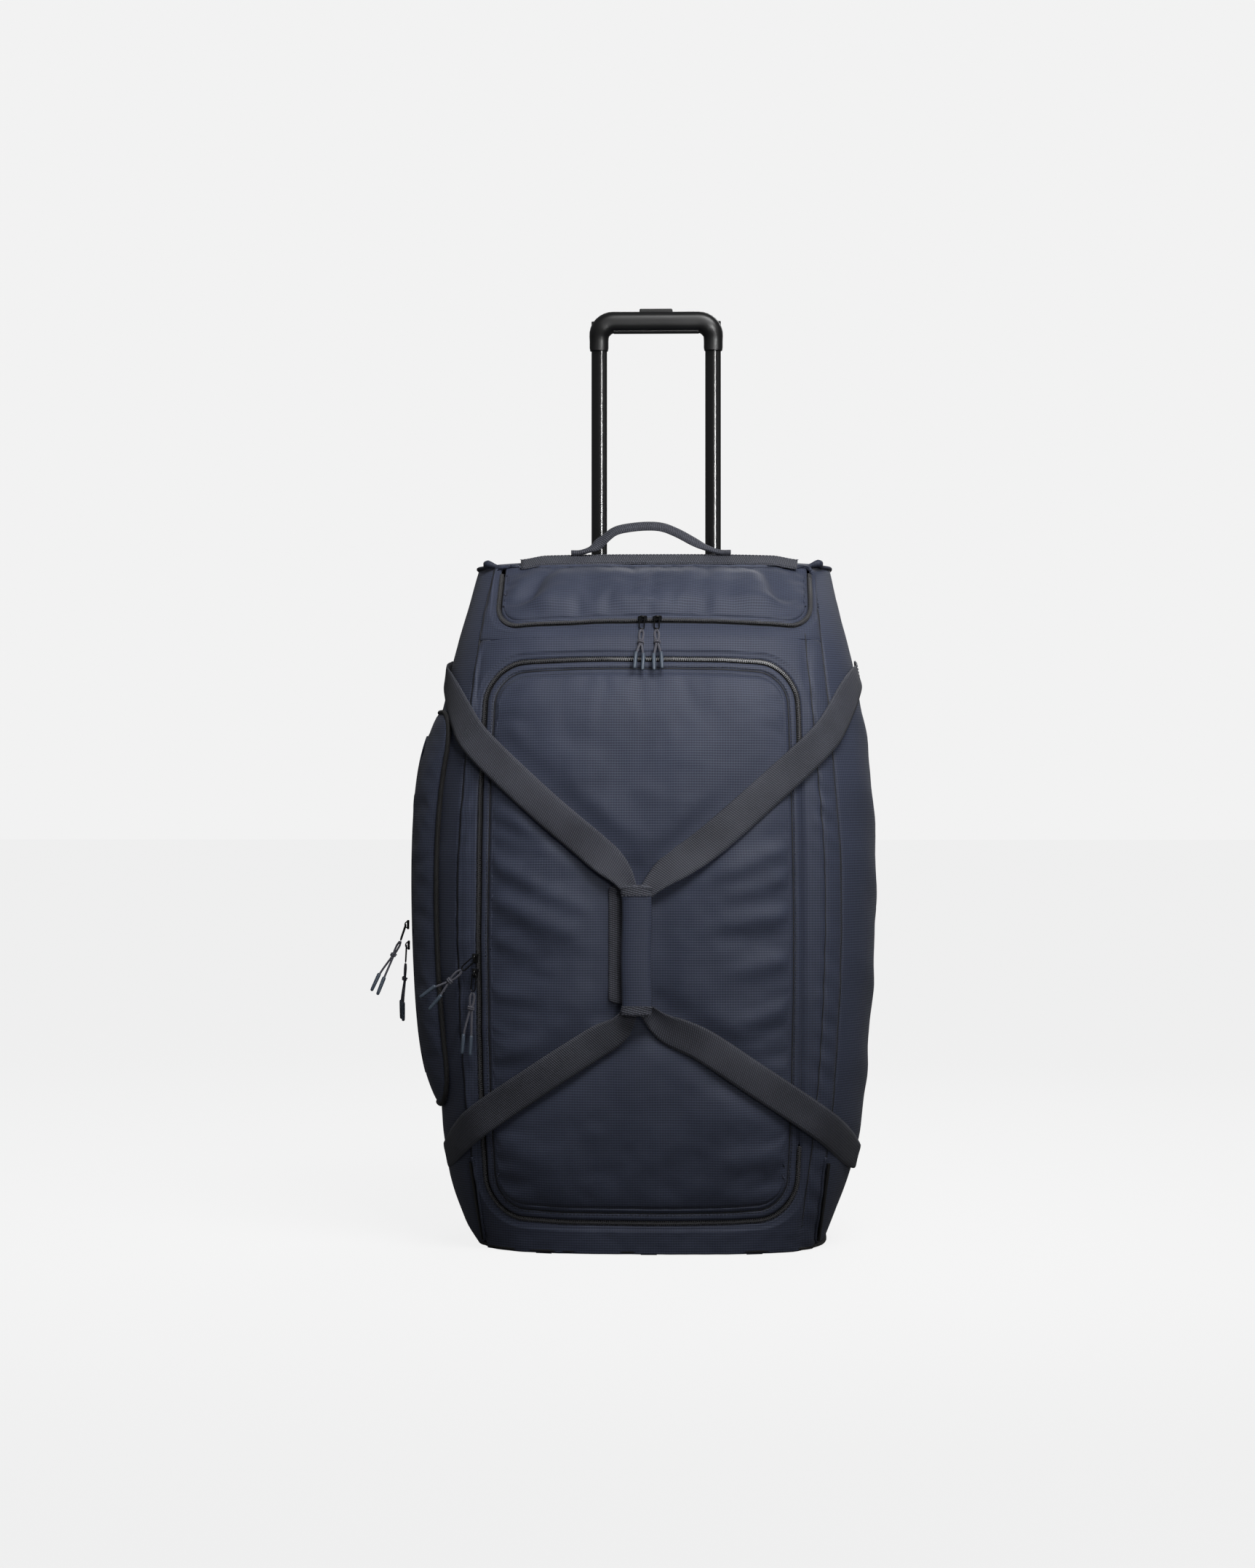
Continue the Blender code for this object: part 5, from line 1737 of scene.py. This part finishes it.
class DUFFEL_OT_wrap(bpy.types.Operator):
    """Make the padded wrap that holds the straps together"""

    bl_idname = "duffel.wrap"
    bl_label = "Strap wrap"

    def execute(self, context):
        low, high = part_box("wrap_front")
        made = self.roll("wrap_front", low, high, "ripstop", "left_strap_loop", 0.0016)
        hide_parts("wrap_front")
        for word, z_low, z_high in (("upper", high.z - 0.0135, high.z + 0.0008),
                                    ("lower", low.z - 0.0008, low.z + 0.0125)):
            a = Vector((low.x - 0.0006, low.y - 0.0007, z_low))
            b = Vector((high.x + 0.0006, high.y + 0.0004, z_high))
            self.roll(f"wrap_{word}_band", a, b, "heavy", "left_strap_loop", 0.0006)
            for z in (z_low + 0.0022, z_high - 0.0022):
                line = [Vector((a.x + 0.002 + (b.x - a.x - 0.004) * i / 8, a.y + 0.0002, z))
                        for i in range(9)]
                lay_stitches(f"wrap_{word}_stitch_{round(z * 1e4)}", line, "stitch",
                             "left_strap_loop", normals=[Vector((0, -1, 0))] * 9)
        low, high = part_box("wrap_rear")
        low = low + Vector((-0.0022, -0.0016, 0.0))
        made = self.roll("wrap_rear", low, high, "heavy", "right_strap_loop", 0.0)
        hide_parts("wrap_rear")
        return {"FINISHED"}

    def roll(self, name, low, high, look, body, crown):
        """A soft flat roll: rounded in section, with its ends drawn in."""
        centre = (low + high) / 2
        wide, deep = (high.x - low.x) / 2, (high.y - low.y) / 2
        steps = 44
        rings, places = [], []
        for i in range(steps + 1):
            t = i / steps
            z = low.z + (high.z - low.z) * t
            end = min(t, 1 - t) * (high.z - low.z)
            tuck = 1 - 0.30 * (1 - ease(end, 0.0, 0.0035))
            wave = 0.0006 * math.sin(9 * t + 1.0) if crown else 0.0
            ring, row = [], []
            for x, y in oval(wide * tuck, deep * tuck, 36, 3.4):
                if y < 0:
                    y += crown * (x / wide) ** 2
                ring.append(Vector((centre.x + x + wave, centre.y + y, z)))
                row.append((x if y < 0 else -x, z))
            rings.append(ring)
            places.append(row)
        return add_piece(loft(name, rings, places), look, body, (), 50)


class DUFFEL_OT_carry_handle(bpy.types.Operator):
    """Make the webbing handle on top and the band that it is sewn to"""

    bl_idname = "duffel.carry_handle"
    bl_label = "Carry handle"

    def execute(self, context):
        self.band()
        foot, rise = 0.8090, 0.031
        shape = [(-0.096, -0.05), (-0.084, -0.03), (-0.070, 0.15), (-0.058, 0.48),
                 (-0.045, 0.80), (-0.028, 0.94), (-0.006, 1.0), (0.012, 0.95), (0.030, 0.72),
                 (0.048, 0.40), (0.062, 0.16), (0.078, -0.03), (0.092, -0.05)]
        path = smooth_line([Vector((x, HANDLE_Y, foot + z * rise)) for x, z in shape], 9)
        normals = [Vector((-t.z, 0, t.x)) for t in tangents(path)]
        shares = [k / (len(path) - 1) for k in range(len(path))]
        widths, twists = [], []
        for t in shares:
            foot_near = ease(min(t, 1 - t), 0.04, 0.22)
            widths.append(0.0085 + 0.0070 * foot_near)
            lifted = ease(t, 0.10, 0.30) * (1 - ease(t, 0.72, 0.92))
            pinch = math.exp(-(((t - 0.20) / 0.05) ** 2))
            twists.append(0.60 * lifted + 0.65 * pinch)
        cups = [-0.0026 * math.sin(math.pi * t) for t in shares]
        mesh = webbing_mesh("carry_handle", path, normals, widths, 0.0062, cups, twists)
        add_piece(mesh, "webbing", "carry_handle", ["carry_handle"])
        return {"FINISHED"}

    def band(self):
        """The band sewn along the top's front edge."""
        half, middle, depth = section(WALL_HIGH)
        path = []
        for i in range(61):
            x, y = -0.155 + 0.325 * i / 60, HANDLE_Y
            share = abs(x / half) ** SQUARENESS + abs((y - middle) / depth) ** SQUARENESS
            share = share ** (1 / SQUARENESS)
            z = TOP_EDGE + TOP_CROWN * (1 - share**2) + 0.0030
            end = ease(min(x + 0.155, 0.170 - x), 0.0, 0.03)
            path.append(Vector((x, y - 0.0075, z - 0.0014 - 0.0035 * (1 - end))))
        tilt = Vector((0, -0.50, 0.87))
        normals = [tilt] * 61
        mesh = webbing_mesh("handle_band", path, normals, [0.025] * 61, 0.0022)
        add_piece(mesh, "webbing", "bag", ["handle_band"])
        slope = Vector((0, 0.87, 0.50))
        for word, off in (("front", -0.0100), ("rear", 0.0100)):
            line = [p + slope * off + tilt * 0.0011 for p in path]
            lay_stitches(f"handle_band_{word}_stitches", line, "stitch", "bag", normals=normals)


class DUFFEL_OT_trolley(bpy.types.Operator):
    """Finish the telescopic handle, its grip and its surround"""

    bl_idname = "duffel.trolley"
    bl_label = "Telescopic handle"

    def execute(self, context):
        finishes = {
            "tube": ["left_outer_tube", "right_outer_tube"],
            "plastic": ["trolley_bezel", "trolley_bottom_bracket", "grip_lower", "base_tray",
                        "left_corner_guard", "right_corner_guard", "left_wheel_housing",
                        "right_wheel_housing"],
            "satin": ["grip_button"],
            "steel": ["button_spring", "left_axle", "right_axle"],
            "board": ["frame_board"],
            "lining": ["top_pocket_divider"],
            "rubber": ["left_tyre", "right_tyre"],
        }
        for look, names in finishes.items():
            for name in names:
                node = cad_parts[name]
                if not node.material_slots:
                    node.data.materials.append(looks()[look])
                for slot in node.material_slots:
                    slot.link = "OBJECT"
                    slot.material = looks()[look]
        self.grip()
        self.tubes()
        self.hubs()
        return {"FINISHED"}

    def tubes(self):
        """The two drawn tubes, oval in section."""
        for word, _ in SIDES:
            name = f"{word}_inner_tube"
            low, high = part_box(name)
            centre = (low + high) / 2
            heights = [low.z, low.z + 0.002]
            heights += [low.z + (high.z - low.z) * i / 24 for i in range(1, 24)]
            heights += [high.z - 0.002, high.z]
            sides = 48
            around = oval((high.x - low.x) / 2, (high.y - low.y) / 2, sides, 2.2)
            rings = [[Vector((centre.x + x, centre.y + y, z)) for x, y in around]
                     for z in heights]
            places = [[(0.05 * j / sides, z) for j in range(sides)] for z in heights]
            add_piece(loft(name, rings, places), "tube", "trolley", [name], 50)

    def grip(self):
        """One smooth moulding: a bar that turns down into two tapering legs."""
        low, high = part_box("grip_upper")
        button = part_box("grip_button")[1].z
        y = (low.y + high.y) / 2
        leg, bar = 0.0115, 0.0130
        half, top = high.x - leg, min(high.z, button - 0.003) - bar
        turn = 0.018
        path = [(-half, low.z + 0.0004), (-half, low.z + 0.004), (-half, low.z + 0.012),
                (-half, top - turn)]
        for i in range(1, 9):
            a = math.pi - math.pi / 2 * i / 8
            path.append((-half + turn + turn * math.cos(a), top - turn + turn * math.sin(a)))
        path += [(-half + turn + (half - turn) * i / 5, top) for i in range(1, 6)]
        path += [(-x, z) for x, z in reversed(path[:-1])]
        line = [Vector((x, y, z)) for x, z in path]
        marks = run_marks(line)
        rings, places, sides = [], [], 32
        for k, (point, _, up, across) in enumerate(frames(line, [Vector((0, 1, 0))] * len(line))):
            rise = point.z - low.z
            thick = leg + (bar - leg) * ease(rise, 0.012, 0.030)
            thick -= 0.0006 * (1 - ease(rise, 0.001, 0.003))
            deep = 0.0112 + 0.0036 * ease(rise, 0.010, 0.030)
            rings.append([point + across * a + up * b for a, b in oval(thick, deep, sides, 2.7)])
            places.append([(0.08 * j / sides, marks[k]) for j in range(sides)])
        mesh = loft("grip_upper", rings, places)
        add_piece(mesh, "satin", "trolley", ["grip_upper"], 50)

    def hubs(self):
        """Spoked wheel centres."""
        for word, _ in SIDES:
            name = f"{word}_hub"
            low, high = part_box(name)
            centre = (low + high) / 2
            half, rim = (high.x - low.x) / 2, (high.z - low.z) / 2
            profile = [(-half, 0.0034), (-half, 0.0085), (-half * 0.45, 0.0100),
                       (-half * 0.30, rim - 0.006), (-half, rim - 0.0035), (-half, rim),
                       (half, rim), (half, rim - 0.0035), (half * 0.30, rim - 0.006),
                       (half * 0.45, 0.0100), (half, 0.0085), (half, 0.0034)]
            rings, places, sides = [], [], 60
            for i in range(sides + 1):
                a = 2 * math.pi * i / sides
                spoke = 0.0016 * ease(math.cos(5 * a), 0.2, 0.8)
                ring = []
                for x, r in profile:
                    wide = x + math.copysign(spoke, x) if 0.011 < r < rim - 0.004 else x
                    ring.append(centre + Vector((wide, r * math.cos(a), r * math.sin(a))))
                rings.append(ring)
                places.append([(x, r * a) for x, r in profile])
            mesh = edited(grid_mesh(name, rings, places, True), self.close_up)
            add_piece(mesh, "plastic", f"{word}_wheel", [name], 35)

    def close_up(self, bm):
        weld(bm)
        bmesh.ops.recalc_face_normals(bm, faces=bm.faces)


OPERATORS = (DUFFEL_OT_stage, DUFFEL_OT_pull_cords, DUFFEL_OT_front, DUFFEL_OT_lid,
             DUFFEL_OT_top_flap, DUFFEL_OT_walls, DUFFEL_OT_side_pocket, DUFFEL_OT_zips,
             DUFFEL_OT_straps, DUFFEL_OT_wrap, DUFFEL_OT_carry_handle, DUFFEL_OT_trolley)
GROUPS = (("duffel_sizes", DuffelSizes), ("duffel_colours", DuffelColours),
          ("duffel_stage", DuffelStage))


class DUFFEL_PT_panel(bpy.types.Panel):
    """The bag's pieces, in the order in which they are made"""

    bl_idname = "DUFFEL_PT_panel"
    bl_label = "Rolling duffel bag"
    bl_space_type = "VIEW_3D"
    bl_region_type = "UI"
    bl_category = "Duffel"

    def draw(self, context):
        for name, group in GROUPS:
            box = self.layout.box()
            for key in group.__annotations__:
                box.prop(getattr(context.scene, name), key)
        for operator in OPERATORS:
            self.layout.operator(operator.bl_idname)


def register():
    for name, group in GROUPS:
        bpy.utils.register_class(group)
        setattr(bpy.types.Scene, name, PointerProperty(type=group))
    for operator in OPERATORS:
        bpy.utils.register_class(operator)
    bpy.utils.register_class(DUFFEL_PT_panel)


def unregister():
    bpy.utils.unregister_class(DUFFEL_PT_panel)
    for operator in reversed(OPERATORS):
        bpy.utils.unregister_class(operator)
    for name, group in reversed(GROUPS):
        delattr(bpy.types.Scene, name)
        bpy.utils.unregister_class(group)


def main():
    register()
    for operator in OPERATORS:
        family, _, action = operator.bl_idname.partition(".")
        getattr(getattr(bpy.ops, family), action)()


if __name__ == "__main__":
    main()
